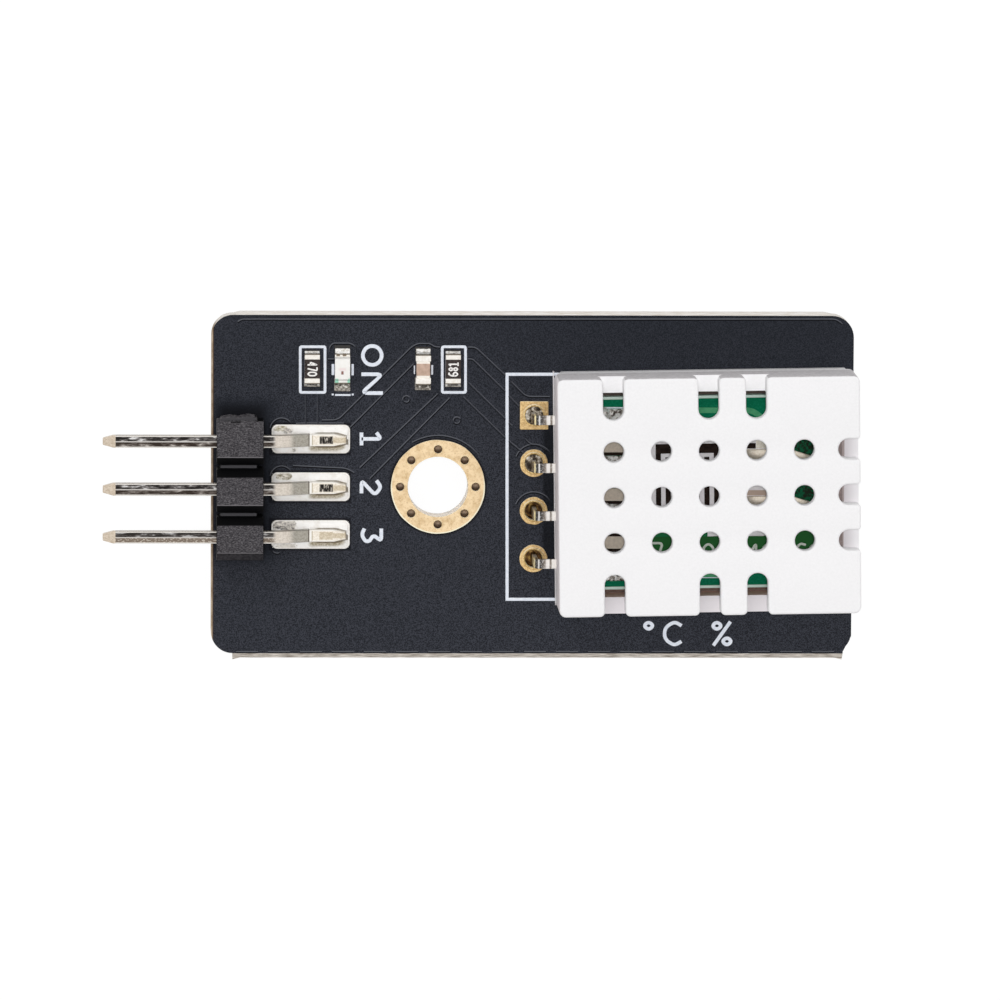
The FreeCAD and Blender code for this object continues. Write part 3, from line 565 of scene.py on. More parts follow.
def pin_look():
    """Tinned pin with painted reflections: bright edges, dark mottled bands along its top, grey sides
    as painted shade, and a painted tone on each bend.
    """
    look = Look("pin_metal")
    across = look.from_pin()
    fine = look.grain(0.08, (1.5, 1, 1), roughness=0.7)
    third = look.y.under((pin_rows[1] + pin_rows[2]) / 2, 0.05)
    # Painted reflection: dark mottled bands on the top faces.
    bands = look.grain(0.2, (4, 1, 1), 5.0, 0.65)
    upper = bands.tones((0.44, (28, 24, 22)), (0.54, (108, 103, 101)), (0.63, (226, 224, 223)))
    upper = look.mix(third * 0.4, upper, (52, 47, 43))
    bands = look.grain(0.2, (4, 1, 1), 5.0, 0.65, 7.0)
    lower = bands.tones((0.46, (50, 40, 33)), (0.57, (108, 99, 93)), (0.67, (204, 197, 190)))
    lower = look.mix(third, lower, fine.blend((128, 114, 101), (214, 204, 192), 0.06, 0.58))
    look.colour = look.mix(across.over(0.0, 0.015), lower, upper)
    # Painted highlights along the middle and the edges of the top, painted shade on the sides.
    look.paint(across.within(-0.03, 0.025, 0.012), (206, 201, 196))
    look.paint(abs(across).over(0.262, 0.015), (236, 231, 224))
    look.paint(abs(look.ny).over(0.8, 0.1), (164, 156, 148))

    def along(u0, u1, tone, soft=0.012, level=foot_top):
        look.paint(look.x.within(column(u0, level), column(u1, level), soft), tone)

    # Painted reflections and highlights on each bend and on the foot.
    along(90, 115.5, fine.blend((196, 180, 160), (222, 208, 190), 0.15), 0.02, pin_top)
    along(274.5, 294, fine.blend((206, 196, 183), (228, 219, 208), 0.15), 0.12, pin_top)
    grey_part = (look.x.over(column(292, foot_top + 0.3), 0.28)
                 * look.x.under(column(308.4, foot_top), 0.02))
    look.paint(grey_part, fine.blend((156, 151, 140), (180, 175, 164), 0.12))
    along(308.4, 360, fine.blend((232, 221, 204), (252, 245, 233), 0.15), 0.01)
    along(308.4, 309.4, (70, 62, 54))
    along(309.6, 311.8, (255, 252, 246))
    along(311.8, 312.8, (196, 184, 162))
    bars = look.grain(0.1, (1, 3, 1))
    bars = bars.tones((0.4, (26, 23, 22)), (0.52, (74, 68, 62)), (0.64, (214, 206, 194)))
    faint = fine.blend((200, 184, 158), (224, 212, 190), 0.12)
    start = column(319.5, foot_top)
    end = column(333, foot_top)
    look.paint(look.x.within(start, end, 0.03) * across.within(-0.2, 0.2, 0.03),
               look.mix(third, bars, faint))
    look.paint(look.x.over(end, 0.03) * across.within(-0.14, 0.14, 0.03), faint)
    foot = look.x.over(column(312, foot_top), 0.02)
    look.paint(foot * abs(across).over(0.25, 0.015), (250, 246, 238))
    look.finish(fine, 0.35, 0.7, 0.5, 0.006)


# Painted highlights and shade in bands across the sensor's wires, by column of the photograph.
wire_start = 532
wire_end = 560
wire_shading_bands = (
    (532.9, (92, 74, 50)), (533.5, (255, 236, 180)), (534.5, (255, 236, 180)),
    (535.0, (38, 34, 32)), (537.2, (42, 38, 36)), (537.8, (226, 223, 218)),
    (538.6, (226, 223, 218)), (539.2, (34, 32, 32)), (541.0, (66, 60, 56)),
    (544.5, (138, 128, 118)), (546.0, (238, 233, 228)), (548.6, (242, 238, 232)),
    (549.3, (132, 122, 112)), (550.6, (132, 122, 112)), (551.6, (242, 238, 232)),
    (559.0, (230, 223, 216)),
)


def sensor_wire_look():
    """Silver wire of the sensor, with painted highlights and shade in bands across its bend."""
    look = Look("sensor_wire")
    fine = look.grain(0.07)
    level = board_top + 1.0
    start = column(wire_start, level)
    share = (look.x - start) / (column(wire_end, level) - start)
    count = wire_end - wire_start
    look.colour = share.tones(*[((u - wire_start) / count, tone) for u, tone in wire_shading_bands])
    look.paint(fine.over(0.58, 0.08) * 0.4, (255, 253, 250))
    leg = look.z.under(board_top + 1.2, 0.15) * look.nx.over(-0.6, 0.1)
    look.paint(leg, fine.blend((206, 200, 190), (180, 173, 162)))
    look.paint(look.x.over(column(562, level), 0.05),
               fine.blend((206, 200, 190), (150, 142, 130), 0.1))
    look.finish(fine, 0.3, 0.2, 0.5, 0.006)


def joint_look():
    """Fill of the sensor's holes: silver solder in the upper two, amber flux in the lower two."""
    look = Look("pin_joint")
    fine = look.grain(0.22)
    silver = fine.tones((0.42, (50, 42, 34)), (0.52, (122, 110, 94)), (0.64, (222, 214, 200)))
    amber = fine.tones((0.36, (70, 46, 26)), (0.52, (128, 92, 50)), (0.66, (196, 160, 90)))
    look.colour = look.mix(look.y.over(spot(533, 488, board_top).y, 0.1), amber, silver)
    look.finish(fine, 0.3, 0.6, 0.5, 0.02)


def black_plastic_look():
    """Header housing: grey drawn grain on its flats, grooves painted near black as shade with a
    lighter web, and a painted highlight along the lower edge of each flat.
    """
    look = Look("black_plastic")
    across = look.from_pin()
    up = look.nz.over(0.8, 0.15)
    drag = look.grain(0.05, (2.2, 1, 1), roughness=0.85)
    rough = look.grain(0.16, detail=4.0, roughness=0.7)
    flat = look.most(abs(across).under(flat_half, 0.03) * up, look.y.over(pin_rows[0] + 0.3, 0.03))
    grey = drag.tones((0.39, (42, 40, 43)), (0.5, (70, 68, 71)), (0.61, (108, 105, 108)))
    # Painted shade: faces other than the flats are near black.
    look.colour = look.mix(flat, (5, 5, 6), grey)
    web = abs(across).over(header_pitch / 2 - 0.115, 0.02) * up
    look.paint(web * look.x.within(column(220, 3), column(257, 3), 0.05), (70, 69, 72))
    # Painted highlight along the lower edge of each flat.
    lip = across.within(-flat_half - 0.02, -flat_half + 0.03, 0.015)
    look.paint(lip * up, (122, 119, 122))
    look.mark(231, 421.4, 241, 423.6, (10, 10, 11), housing_high.z, 0.04)
    broken = rough.tones((0.36, (38, 37, 40)), (0.52, (76, 74, 77)), (0.64, (122, 119, 122)))
    end = look.mix((look.z - rough * 2.4).under(board_top - 0.6, 0.2), broken, (138, 135, 138))
    missing = look.x.over(spot(255, 420, 3.0).x, 0.02)
    look.paint(look.y.over(housing_high.y - 0.6, 0.03) * look.ny.over(0.85, 0.05),
               look.mix(missing, end, (8, 8, 9)))
    look.paint(look.y.under(pin_rows[2] - flat_half, 0.03) * look.ny.over(-0.9, 0.05),
               rough.blend((36, 34, 37), (58, 56, 59), 0.15))
    look.finish(drag, 0.6, shine=0.06, depth=0.015)


def white_plastic_look():
    """White housing, with painted shade: greyer on its tall sides, pink grey and brown grey down in
    its slots.
    """
    look = Look("white_plastic")
    fine = look.grain(0.12)
    rough = look.grain(0.16, (1.5, 1, 1), 4.0, 0.7)
    look.colour = fine.blend((245, 244, 245), (250, 249, 250), 0.3)
    high = look.z.over(sensor_level + cover_base + 0.25, 0.15)
    # Painted shade on the tall north and west sides.
    north = high * look.y.over(cover_high.y - 0.5, 0.1) * look.ny.over(0.7, 0.1)
    look.paint(north, rough.blend((184, 181, 183), (202, 199, 201), 0.1))
    west = high * look.x.under(cover_low.x + 0.5, 0.1) * look.nx.under(-0.7, 0.1)
    look.paint(west, rough.blend((240, 233, 235), (247, 241, 243), 0.1))
    ledge = sensor_level + cover_height - slot_drop
    south = look.y.under(cover_middle.y - 4.5, 0.1)
    east = look.x.over(cover_middle.x + 6.5, 0.1)
    # Painted shade on the floors of the slots, brown grey at the inner part of the end slots.
    shelf = look.mix(east * look.x.over(cover_high.x - 0.45, 0.4), (224, 219, 222), (246, 244, 246))
    shelf = look.mix(east * look.x.under(column(844, 5.6), 0.03), shelf, (172, 158, 156))
    upward = look.z.within(ledge - 0.1, ledge + 0.1, 0.03) * look.nz.over(0.7, 0.1)
    look.paint(upward * look.most(south, east), shelf)
    # Painted shade: the inner south wall below the ledge is tinted pink so that its shade renders
    # brown.
    look.paint(look.ny.over(0.7, 0.1) * south * look.z.under(ledge, 0.02), (255, 220, 206))
    look.finish(fine, 0.65, shine=0.15, depth=0.003)


def via_look():
    """Fill of the ring's small holes, with painted light and shade: lighter above, dark below."""
    look = Look("via_fill")
    fine = look.grain(0.1, detail=4.0)
    look.colour = look.ny.blend((74, 58, 46), (150, 130, 112), 0.3, 0.0)
    look.paint(fine.over(0.5, 0.15) * 0.4, (96, 80, 66))
    look.finish(fine, 0.45, depth=0.006)


def flange_look():
    """Foot of the cover: pinkish grey on top as painted shade, with a white outer edge."""
    look = Look("flange")
    rough = look.grain(0.16, (1, 1.5, 1), 4.0, 0.7)
    look.colour = rough.blend((196, 186, 190), (222, 214, 217), 0.1)
    look.paint(look.nz.under(0.9, 0.08), (248, 246, 248))
    look.finish(rough, 0.6, shine=0.15)


def base_look():
    """The sensor's base: white outside, and brown grey on the floor inside the cover as painted shade.
    """
    look = Look("base_plastic")
    fine = look.grain(0.12)
    look.colour = fine.blend((240, 239, 240), (246, 245, 246), 0.3)
    # Painted shade on the floor inside the cover.
    floor = look.nz.over(0.6, 0.2) * look.z.over(sensor_level + 0.3, 0.1)
    look.paint(floor, fine.blend((112, 92, 84), (128, 106, 96)))
    look.paint(floor * look.y.over(cover_middle.y, 0.1), (100, 88, 82))
    look.finish(fine, 0.7, shine=0.15, depth=0.003)


def green_look():
    """Inner board: dark green, with bare mint laminate along its edges."""
    look = Look("green_board")
    fine = look.grain(0.1)
    look.colour = fine.blend((10, 110, 78), (26, 126, 91), 0.15, 0.55)
    mottled = look.grain(0.16, detail=4.0, roughness=0.7).blend((40, 46, 36), (26, 104, 70), 0.05)
    look.mark(786, 436, 822, 512, mottled, inner_top, 0.05)
    look.mark(630, 525, 840, 565, (46, 102, 54), inner_top, 0.05)
    own_y = ((look.y - cover_middle.y) * math.cos(sensor_turn)
             - (look.x - cover_middle.x) * math.sin(sensor_turn))
    bare = abs(own_y).over(inner_half_width - 0.14, 0.02)
    look.paint(bare, (232, 252, 242))
    look.finish(fine, 0.5, bare * 0.45, 0.03)


def element_look():
    """Pale humidity element; its lower left corner lies under green mask."""
    look = Look("element")
    fine = look.grain(0.2, detail=4.0)
    look.colour = fine.blend((252, 248, 250), (240, 235, 238))
    look.mark(630, 530.5, 707.6, 545, (38, 114, 70), inner_top + 0.6, 0.01)
    look.mark(744, 490.2, 768, 495.4, (196, 174, 160), inner_top + 0.6, 0.01)
    look.finish(fine, 0.7, shine=0.1)


def lens_look():
    """Milky lens of the light with a small red mark and green corners."""
    look = Look("led_resin")
    level = box("led_lens")[1].z
    look.colour = look.grain(0.2, detail=2.0).blend((246, 244, 238), (252, 250, 247), 0.3)
    look.mark(339, 368, 346, 371, (232, 196, 200), level, 0.08, 0.4)
    look.mark(341.2, 371.2, 343.6, 374.6, (134, 90, 82), level, 0.04)
    for u in (336.8, 349.6):
        look.mark(u - 1.6, 378.6, u + 1.6, 383, (178, 226, 204), level)
    look.finish(None, 0.35, shine=0.4)


# Plain looks: light and dark tone, roughness, metal, size of the grain and shine.
plain_looks = {
    "code_print": ((255, 253, 250), (246, 243, 240), 0.7, 0.0, 0.12, 0.3),
    "light_green": ((92, 170, 124), (76, 156, 112), 0.5, 0.0, 0.3, 0.03),
    "white_ceramic": ((250, 246, 248), (238, 233, 236), 0.7, 0.0, 0.2, 0.1),
    "chip_coat": ((70, 62, 60), (50, 44, 42), 0.35, 0.0, 0.12, 0.15),
    "chip_metal": ((246, 241, 230), (224, 216, 200), 0.35, 0.5, 0.12, 0.3),
    "led_chip": ((120, 30, 26), (80, 20, 18), 0.4, 0.0, 0.2, 0.3),
    "electrode": ((34, 26, 24), (52, 41, 36), 0.6, 0.0, 0.2, 0.03),
    "controller_plastic": ((30, 30, 30), (42, 42, 42), 0.6, 0.0, 0.2, 0.1),
    "silk": ((222, 228, 239), (238, 242, 250), 0.7, 0.0, 0.12, 0.1),
    "inner_silk": ((214, 222, 210), (236, 240, 232), 0.7, 0.0, 0.12, 0.3),
    "plate_metal": ((222, 208, 192), (204, 191, 176), 0.6, 0.0, 0.15, 0.1),
    "inner_lead": ((255, 246, 230), (240, 224, 204), 0.36, 0.8, 0.09, 0.5),
    # Brown grey of the shaded gap at the sensor's end, painted on the strip that fills it.
    "rib": ((168, 152, 149), (150, 136, 133), 0.7, 0.0, 0.2, 0.1),
}
for name, (light, dark, roughness, metal, size, shine) in plain_looks.items():
    look = Look(name)
    fine = look.grain(size, detail=4.0)
    look.colour = fine.blend(light, dark)
    look.finish(fine, roughness, metal, shine)
mask_look("board_mask", False)
mask_look("mask_line", True)
for make_look in (gold_look, crumpled_look, pad_solder_look, land_look, fillet_look, chip_end_look,
                  chip_solder_look, chip_land_look, capacitor_look, pin_look, sensor_wire_look,
                  joint_look, black_plastic_look, white_plastic_look, via_look, flange_look,
                  base_look, green_look, element_look, lens_look):
    make_look()


def place_piece(name, mesh, look, node=None, crease=35):
    """Puts a mesh given in millimetres into the scene as a piece that rides on the part."""
    mesh.transform(Matrix.Scale(MM, 4))
    mesh.materials.clear()
    mesh.materials.append(looks[look])
    mesh.shade_smooth()
    mesh.set_sharp_from_angle(angle=math.radians(crease))
    made = bpy.data.objects.new(name, mesh)
    bpy.context.scene.collection.objects.link(made)
    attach(made, "root")
    if node:
        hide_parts(node)


def raised(points, z):
    return [Vector((p.x, p.y, z)) for p in points]


class Builder:
    """Gathers points and faces of one piece, in millimetres."""

    def __init__(self):
        self.points = []
        self.faces = []

    def add(self, points, faces):
        first = len(self.points)
        self.points += points
        self.faces += [[first + i for i in face] for face in faces]

    def sweep(self, path, section, closed=False):
        """Band along a path of points; the section is a list of side and height pairs."""
        count = len(path)
        size = len(section)
        points = []
        for i, here in enumerate(path):
            steps = []
            if closed or i > 0:
                steps.append((here - path[i - 1]).to_2d().normalized())
            if closed or i < count - 1:
                steps.append((path[(i + 1) % count] - here).to_2d().normalized())
            along = sum(steps, Vector((0, 0))).normalized()
            side = Vector((-along.y, along.x, 0))
            spread = 1 / max(0.35, abs(steps[0].dot(along)))
            points += [here + side * s * spread + Vector((0, 0, h)) for s, h in section]
        faces = []
        for i in range(count if closed else count - 1):
            a = i * size
            b = (i + 1) % count * size
            for k in range(size):
                m = (k + 1) % size
                faces.append([a + m, a + k, b + k, b + m])
        if not closed:
            faces.append(list(range(size)))
            faces.append([(count - 1) * size + k for k in reversed(range(size))])
        self.add(points, faces)

    def plate(self, loops, z0, z1):
        """Upright solid inside the first loop and outside the others, which may cross it."""
        flat, triangles = region(loops)
        count = len(flat)
        edges = {(t[k - 1], t[k]) for t in triangles for k in range(3)}
        faces = [[a + count, b + count, c + count] for a, b, c in triangles]
        faces += [[c, b, a] for a, b, c in triangles]
        faces += [[a, b, b + count, a + count] for a, b in edges if (b, a) not in edges]
        self.add(raised(flat, z0) + raised(flat, z1), faces)

    def prism(self, loops, z0, z1, rim, steps=4):
        """Upright solid inside the first loop and outside the others, with its upper edges rounded.

        Each loop has the material on its left.
        """
        rings = [(0.0, z0)]
        for k in range(steps + 1):
            angle = math.pi / 2 * k / steps
            rings.append((rim * (1 - math.cos(angle)), z1 - rim + rim * math.sin(angle)))
        for loop in loops:
            count = len(loop)
            points = []
            for distance, z in rings:
                points += raised(inset(loop, distance), z)
            self.add(points, [[r + i, r + (i + 1) % count, r + count + (i + 1) % count, r + count + i]
                              for r in range(0, (len(rings) - 1) * count, count)
                              for i in range(count)])
        self.cap([inset(loop, rim) for loop in loops], z1, True)
        self.cap(loops, z0, False)

    def cap(self, loops, z, upward):
        flat, triangles = region(loops)
        self.add(raised(flat, z), triangles if upward else [t[::-1] for t in triangles])

    def mesh(self, name):
        mesh = bpy.data.meshes.new(name)
        mesh.from_pydata(self.points, [], self.faces)
        shape = bmesh.new()
        shape.from_mesh(mesh)
        bmesh.ops.remove_doubles(shape, verts=shape.verts, dist=0.0005)
        shape.to_mesh(mesh)
        shape.free()
        return mesh

    def piece(self, name, look, slot, node=None, crease=35):
        place_piece(name, self.mesh(name), look, node, crease)


def inside(point, loop):
    """Whether a flat point lies in a closed loop."""
    hit = False
    a = loop[-1]
    for b in loop:
        if (a.y > point.y) != (b.y > point.y):
            if point.x < (b.x - a.x) * (point.y - a.y) / (b.y - a.y) + a.x:
                hit = not hit
        a = b
    return hit


def inset(loop, distance):
    """Loop moved to its left by a small distance."""
    if not distance:
        return loop
    out = []
    count = len(loop)
    for i in range(count):
        before = (loop[i] - loop[i - 1]).normalized()
        after = (loop[(i + 1) % count] - loop[i]).normalized()
        along = (before + after).normalized()
        spread = 1 / max(0.5, before.dot(along))
        out.append(loop[i] + Vector((-along.y, along.x)) * distance * spread)
    return out


def region(loops):
    """Triangles that fill the first loop around the others."""
    points = []
    edges = []
    for loop in loops:
        first = len(points)
        points += loop
        edges += [(first + i, first + (i + 1) % len(loop)) for i in range(len(loop))]
    flat, _, triangles, _, _, _ = delaunay_2d_cdt(points, edges, [], 0, 1e-6)
    kept = []
    for a, b, c in triangles:
        centre = (flat[a] + flat[b] + flat[c]) / 3
        if inside(centre, loops[0]) and not any(inside(centre, hole) for hole in loops[1:]):
            kept.append((a, b, c))
    return flat, kept


def circle(x, y, radius, count, clockwise=False, wobble=0.0):
    points = []
    for i in range(count):
        angle = 2 * math.pi * i / count * (-1 if clockwise else 1)
        seed = Vector((x + 3 * math.cos(angle), y + 3 * math.sin(angle), 7))
        r = radius + wobble * noise.noise(seed)
        points.append(Vector((x + r * math.cos(angle), y + r * math.sin(angle))))
    return points


def arc(x, y, radius, first, last, steps):
    """Points of an arc between two angles in degrees."""
    angles = [math.radians(first + (last - first) * k / steps) for k in range(steps + 1)]
    return [Vector((x + radius * math.cos(a), y + radius * math.sin(a))) for a in angles]


def rounded_loop(x0, x1, y0, y1, radius, steps=6):
    """Anticlockwise rectangle with round corners."""
    points = []
    for cx, cy, start in ((x1 - radius, y0 + radius, -90), (x1 - radius, y1 - radius, 0),
                          (x0 + radius, y1 - radius, 90), (x0 + radius, y0 + radius, 180)):
        points += arc(cx, cy, radius, start, start + 90, steps)
    return points


def bent(path, radius, steps=5, closed=False):
    """Path of flat points with its corners rounded."""
    out = [] if closed else [path[0]]
    count = len(path)
    for i in range(count) if closed else range(1, count - 1):
        before = path[i - 1]
        here = path[i]
        after = path[(i + 1) % count]
        reach = min(radius, (before - here).length / 2, (after - here).length / 2)
        start = here + (before - here).normalized() * reach
        end = here + (after - here).normalized() * reach
        for k in range(steps + 1):
            t = k / steps
            out.append(start * (1 - t) ** 2 + here * 2 * t * (1 - t) + end * t * t)
    if not closed:
        out.append(path[-1])
    kept = out[:1]
    for point in out[1:]:
        if (point - kept[-1]).length > 0.002:
            kept.append(point)
    if closed and (kept[-1] - kept[0]).length < 0.002:
        kept.pop()
    return kept


def pixels(points, level):
    """Flat path through pixels of the photograph seen on a level."""
    return [spot(u, v, level).to_2d() for u, v in points]


# Fine copies of CAD nodes.
def plain_mesh(node):
    """Mesh of a CAD node in millimetres, joined up and with its flat faces whole."""
    mesh = frame["nodes"][node].data.copy()
    mesh.transform(Matrix.Scale(1 / MM, 4))
    shape = bmesh.new()
    shape.from_mesh(mesh)
    bmesh.ops.remove_doubles(shape, verts=shape.verts, dist=0.001)
    bmesh.ops.dissolve_limit(shape, angle_limit=math.radians(1), verts=shape.verts,
                             edges=shape.edges)
    shape.to_mesh(mesh)
    shape.free()
    if mesh.has_custom_normals:
        mesh.normals_split_custom_set([(0, 0, 0)] * len(mesh.loops))
    return mesh


def worked(mesh, *modifiers):
    """Mesh after some modifiers, each given as its kind and its settings."""
    holder = bpy.data.objects.new("holder", mesh)
    bpy.context.scene.collection.objects.link(holder)
    for kind, settings in modifiers:
        modifier = holder.modifiers.new(kind.lower(), kind)
        for key, value in settings.items():
            setattr(modifier, key, value)
    bpy.context.view_layer.update()
    done = bpy.data.meshes.new_from_object(holder.evaluated_get(bpy.context.evaluated_depsgraph_get()))
    bpy.data.objects.remove(holder)
    return done


def rounded_copy(node, look, slot, width):
    """Copy of a CAD node with its edges rounded."""
    mesh = worked(plain_mesh(node), ("BEVEL", {
        "width": width, "segments": 2, "limit_method": "ANGLE",
        "angle_limit": math.radians(30), "use_clamp_overlap": True}))
    place_piece(node + "_fine", mesh, look, node)


def soft_copy(node, look, voxel, rounds, rough, grain=0.3):
    """Solder node melted into a smooth lump, with its skin crumpled by noise."""
    mesh = worked(plain_mesh(node),
                  ("REMESH", {"mode": "VOXEL", "voxel_size": voxel}),
                  ("SMOOTH", {"factor": 0.5, "iterations": rounds}))
    normals = [v.normal.copy() for v in mesh.vertices]
    for vertex, normal in zip(mesh.vertices, normals):
        vertex.co += normal * rough * noise.fractal(vertex.co / grain, 1.0, 2.0, 3)
    place_piece(node + "_fine", mesh, look, node, crease=180)


# Sensor cover.
def side_points(start, along, slots, reach, m):
    """One side of the face with its open slots, from corner arc to corner arc."""
    quarter = [math.radians(90) * k / 6 for k in range(7)]
    half_turn = [math.radians(180) * k / 20 for k in range(21)]
    inward = Vector((-along.y, along.x))
    r = slot_width / 2
    flat = []
    for at in slots:
        flat += [(at - r - m + m * math.sin(a), m - m * math.cos(a)) for a in quarter]
        flat += [(at - r * math.cos(a), reach - r + r * math.sin(a)) for a in half_turn]
        flat += [(at + r + m - m * math.cos(a), m - m * math.sin(a)) for a in quarter]
    return [start + along * s + inward * d for s, d in flat]


def face_loop(columns, rows):
    """Anticlockwise outline of the sensor's face, with slots in its long sides and at its end."""
    hx = cover_length / 2
    hy = cover_width / 2
    x = hx - cover_corner
    y = hy - cover_corner
    loop = arc(-x, -y, cover_corner, 180, 270, 6)
    loop += side_points(Vector((-hx, -hy)), Vector((1, 0)), [c + hx for c in columns],
                        side_slot_reach, side_slot_mouth)
    loop += arc(x, -y, cover_corner, 270, 360, 6)
    loop += side_points(Vector((hx, -hy)), Vector((0, 1)), [r + hy for r in rows],
                        end_slot_reach, end_slot_mouth)
    loop += arc(x, y, cover_corner, 0, 90, 6)
    loop += side_points(Vector((hx, hy)), Vector((-1, 0)), [hx - c for c in reversed(columns)],
                        side_slot_reach, side_slot_mouth)
    return loop + arc(-x, y, cover_corner, 90, 180, 6)


def turned_piece(builder, name, look, node=None, crease=35):
    """White piece drawn in the sensor's own frame."""
    builder.points = [own(*p) for p in builder.points]
    builder.piece(name, look, "white_plastic", node, crease)


def sensor_cover():
    cover = Builder()
    rows = (-grille_pitch_y, 0.0, grille_pitch_y)
    outline = face_loop(slot_columns, rows)
    bores = [circle(i * grille_pitch_x, y, grille_bore / 2, 40, True)
             for i in range(-2, 3) for y in rows]
    hx = cover_length / 2 - cover_wall
    hy = cover_width / 2 - cover_wall
    cavity = [Vector((-hx, -hy)), Vector((-hx, hy)), Vector((hx, hy)), Vector((hx, -hy))]
    ledge = cover_height - slot_drop
    cover.prism([outline] + bores, cover_height - cover_face, cover_height, cover_rim)
    cover.plate([outline, cavity], ledge, cover_height - cover_face)
    cover.plate([face_loop((), ()), cavity], cover_base, ledge)
    turned_piece(cover, "sensor_cover_fine", "white_plastic", "sensor_cover", 30)


def sensor_flange():
    """Thin foot that shows as a pinkish strip left of the sensor's face; its pinkish grey is painted
    shade.
    """
    hx = cover_length / 2
    hy = cover_width / 2
    flange = Builder()
    flange.prism([rounded_loop(-hx, -hx + 0.05, -hy + 0.1, hy - 0.05, 0.04, 3)], 0.0,
                 flange_height, 0.03)
    turned_piece(flange, "sensor_flange", "flange")


def gap_shade_strip():
    """Strip in the gap between the inner board and the end wall, coloured brown grey as painted shade.
    """
    rib = Builder()
    x1 = cover_length / 2 - cover_wall
    top = cover_height - slot_drop - 0.1
    rib.plate([rounded_loop(x1 - gap_strip_width, x1, -gap_strip_half, gap_strip_half, 0.02, 2)], top - gap_strip_height,
              top)
    turned_piece(rib, "gap_shade_strip", "rib")


# Lands of the board.
def drilled_land(builder, outer, bores, low, rim):
    """Land on both sides of the board; each bore is a place, a radius and a number of sides."""
    loops = [outer] + [circle(*bore, True) for bore in bores]
    builder.prism(loops, board_top, land_top, rim)
    builder.plate(loops, low, 0.0)


def lining(builder, x, y, radius, count):
    """Plating down a hole."""
    builder.plate([circle(x, y, radius + barrel, count), circle(x, y, radius, count, True)], 0,
                  board_top)


def mounting_ring():
    turns = [2 * math.pi * k / via_count for k in range(via_count)]
    places = [(via_circle * math.cos(a), via_circle * math.sin(a)) for a in turns]
    ring = Builder()
    bores = [(0, 0, mount_radius, 72)] + [(x, y, via_radius, 24) for x, y in places]
    drilled_land(ring, circle(0, 0, ring_radius, 96, wobble=0.03), bores, ring_low.z, 0.02)
    plugs = Builder()
    for x, y in places:
        lining(ring, x, y, via_radius, 24)
        lip = raised(circle(x, y, via_radius + 0.03, 24), land_top - 0.01)
        ring.sweep(lip, [(-0.035, 0), (-0.015, 0.025), (0.015, 0.025), (0.035, 0)], True)
        points = []
        for share, height in ((1.0, 0.0), (0.75, 0.05), (0.45, 0.09), (0.15, 0.11)):
            points += raised(circle(x, y, via_radius * share, 16), land_top - plug_drop + height)
        faces = [[r + i, r + (i + 1) % 16, r + 16 + (i + 1) % 16, r + 16 + i]
                 for r in (0, 16, 32) for i in range(16)]
        plugs.add(points, faces + [list(range(48, 64)), list(reversed(range(16)))])
    ring.piece("mounting_ring_fine", "gold_plating", "gold_plating", "mounting_ring")
    plugs.piece("via_plugs", "via_fill", "board_mask")


def sensor_pads():
    for i in range(1, 5):
        low, high = box("sensor_pad_%d" % i)
        x = (low.x + high.x) / 2
        y = (low.y + high.y) / 2
        half = (high.x - low.x) / 2
        if i == 1:
            outer = rounded_loop(x - half, x + half, y - half, y + half, 0.06)
        else:
            outer = circle(x, y, half, 48, wobble=0.02)
        pad = Builder()
        drilled_land(pad, outer, [(x, y, pad_bore, 36)], low.z, 0.015)
        lining(pad, x, y, pad_bore, 36)
        lip = raised(circle(x, y, pad_bore + 0.02, 36), land_top - 0.01)
        pad.sweep(lip, [(-0.08, 0), (-0.03, 0.05), (0.02, 0.05), (0.07, 0)], True)
        pad.piece("sensor_pad_%d_fine" % i, "gold_plating", "gold_plating", "sensor_pad_%d" % i)


def rect_depth(x, y, low, high, r):
    """How far a point lies inside a rectangle with round corners; less than 0 outside."""
    dx = abs(x - (low.x + high.x) / 2) - ((high.x - low.x) / 2 - r)
    dy = abs(y - (low.y + high.y) / 2) - ((high.y - low.y) / 2 - r)
    return r - math.hypot(max(dx, 0), max(dy, 0)) - min(max(dx, dy), 0)


def mound(builder, low, high, base, height, pitch=0.04):
    """Lump of solder given by its height over a land."""
    nx = max(2, round((high.x - low.x) / pitch))
    ny = max(2, round((high.y - low.y) / pitch))
    points = []
    for j in range(ny + 1):
        for i in range(nx + 1):
            x = low.x + (high.x - low.x) * i / nx
            y = low.y + (high.y - low.y) * j / ny
            points.append(Vector((x, y, base + max(-0.04, height(x, y)))))
    corners = [j * (nx + 1) + i for j in range(ny) for i in range(nx)]
    builder.add(points, [[a, a + 1, a + nx + 2, a + nx + 1] for a in corners])


def header_solder(number, row):
    """Solder that covers a header land and climbs a little around the pin's foot."""
    low, high = box("header_solder_%d" % number)
    foot_low = Vector((foot_start, row - 0.3))
    foot_high = Vector((foot_end, row + 0.3))

    def height(x, y):
        depth = rect_depth(x, y, low, high, 0.3)
        if depth < 0:
            return -0.04
        skin = 0.07 * (1 - math.exp(-depth / 0.14))
        away = max(-rect_depth(x, y, foot_low, foot_high, 0.05), 0)
        from_toe = min(1, max(0, (foot_end - x) / 0.5))
        climb = (0.05 + 0.12 * from_toe) * math.exp(-away / 0.16)
        dents = 0.02 * noise.fractal(Vector((x / 0.5, y / 0.5, number)), 1.0, 2.0, 3)
        return (skin + climb + dents) * min(1, depth / 0.05)

    solder = Builder()
    mound(solder, low, high, land_top, height)
    node = "header_solder_%d" % number
    solder.piece(node + "_fine", "pad_solder", "solder", node, 180)


# Print and relief on the board.
silk_height = 0.02
relief_height = 0.02
right = Vector((1, 0))
up = Vector((0, 1))

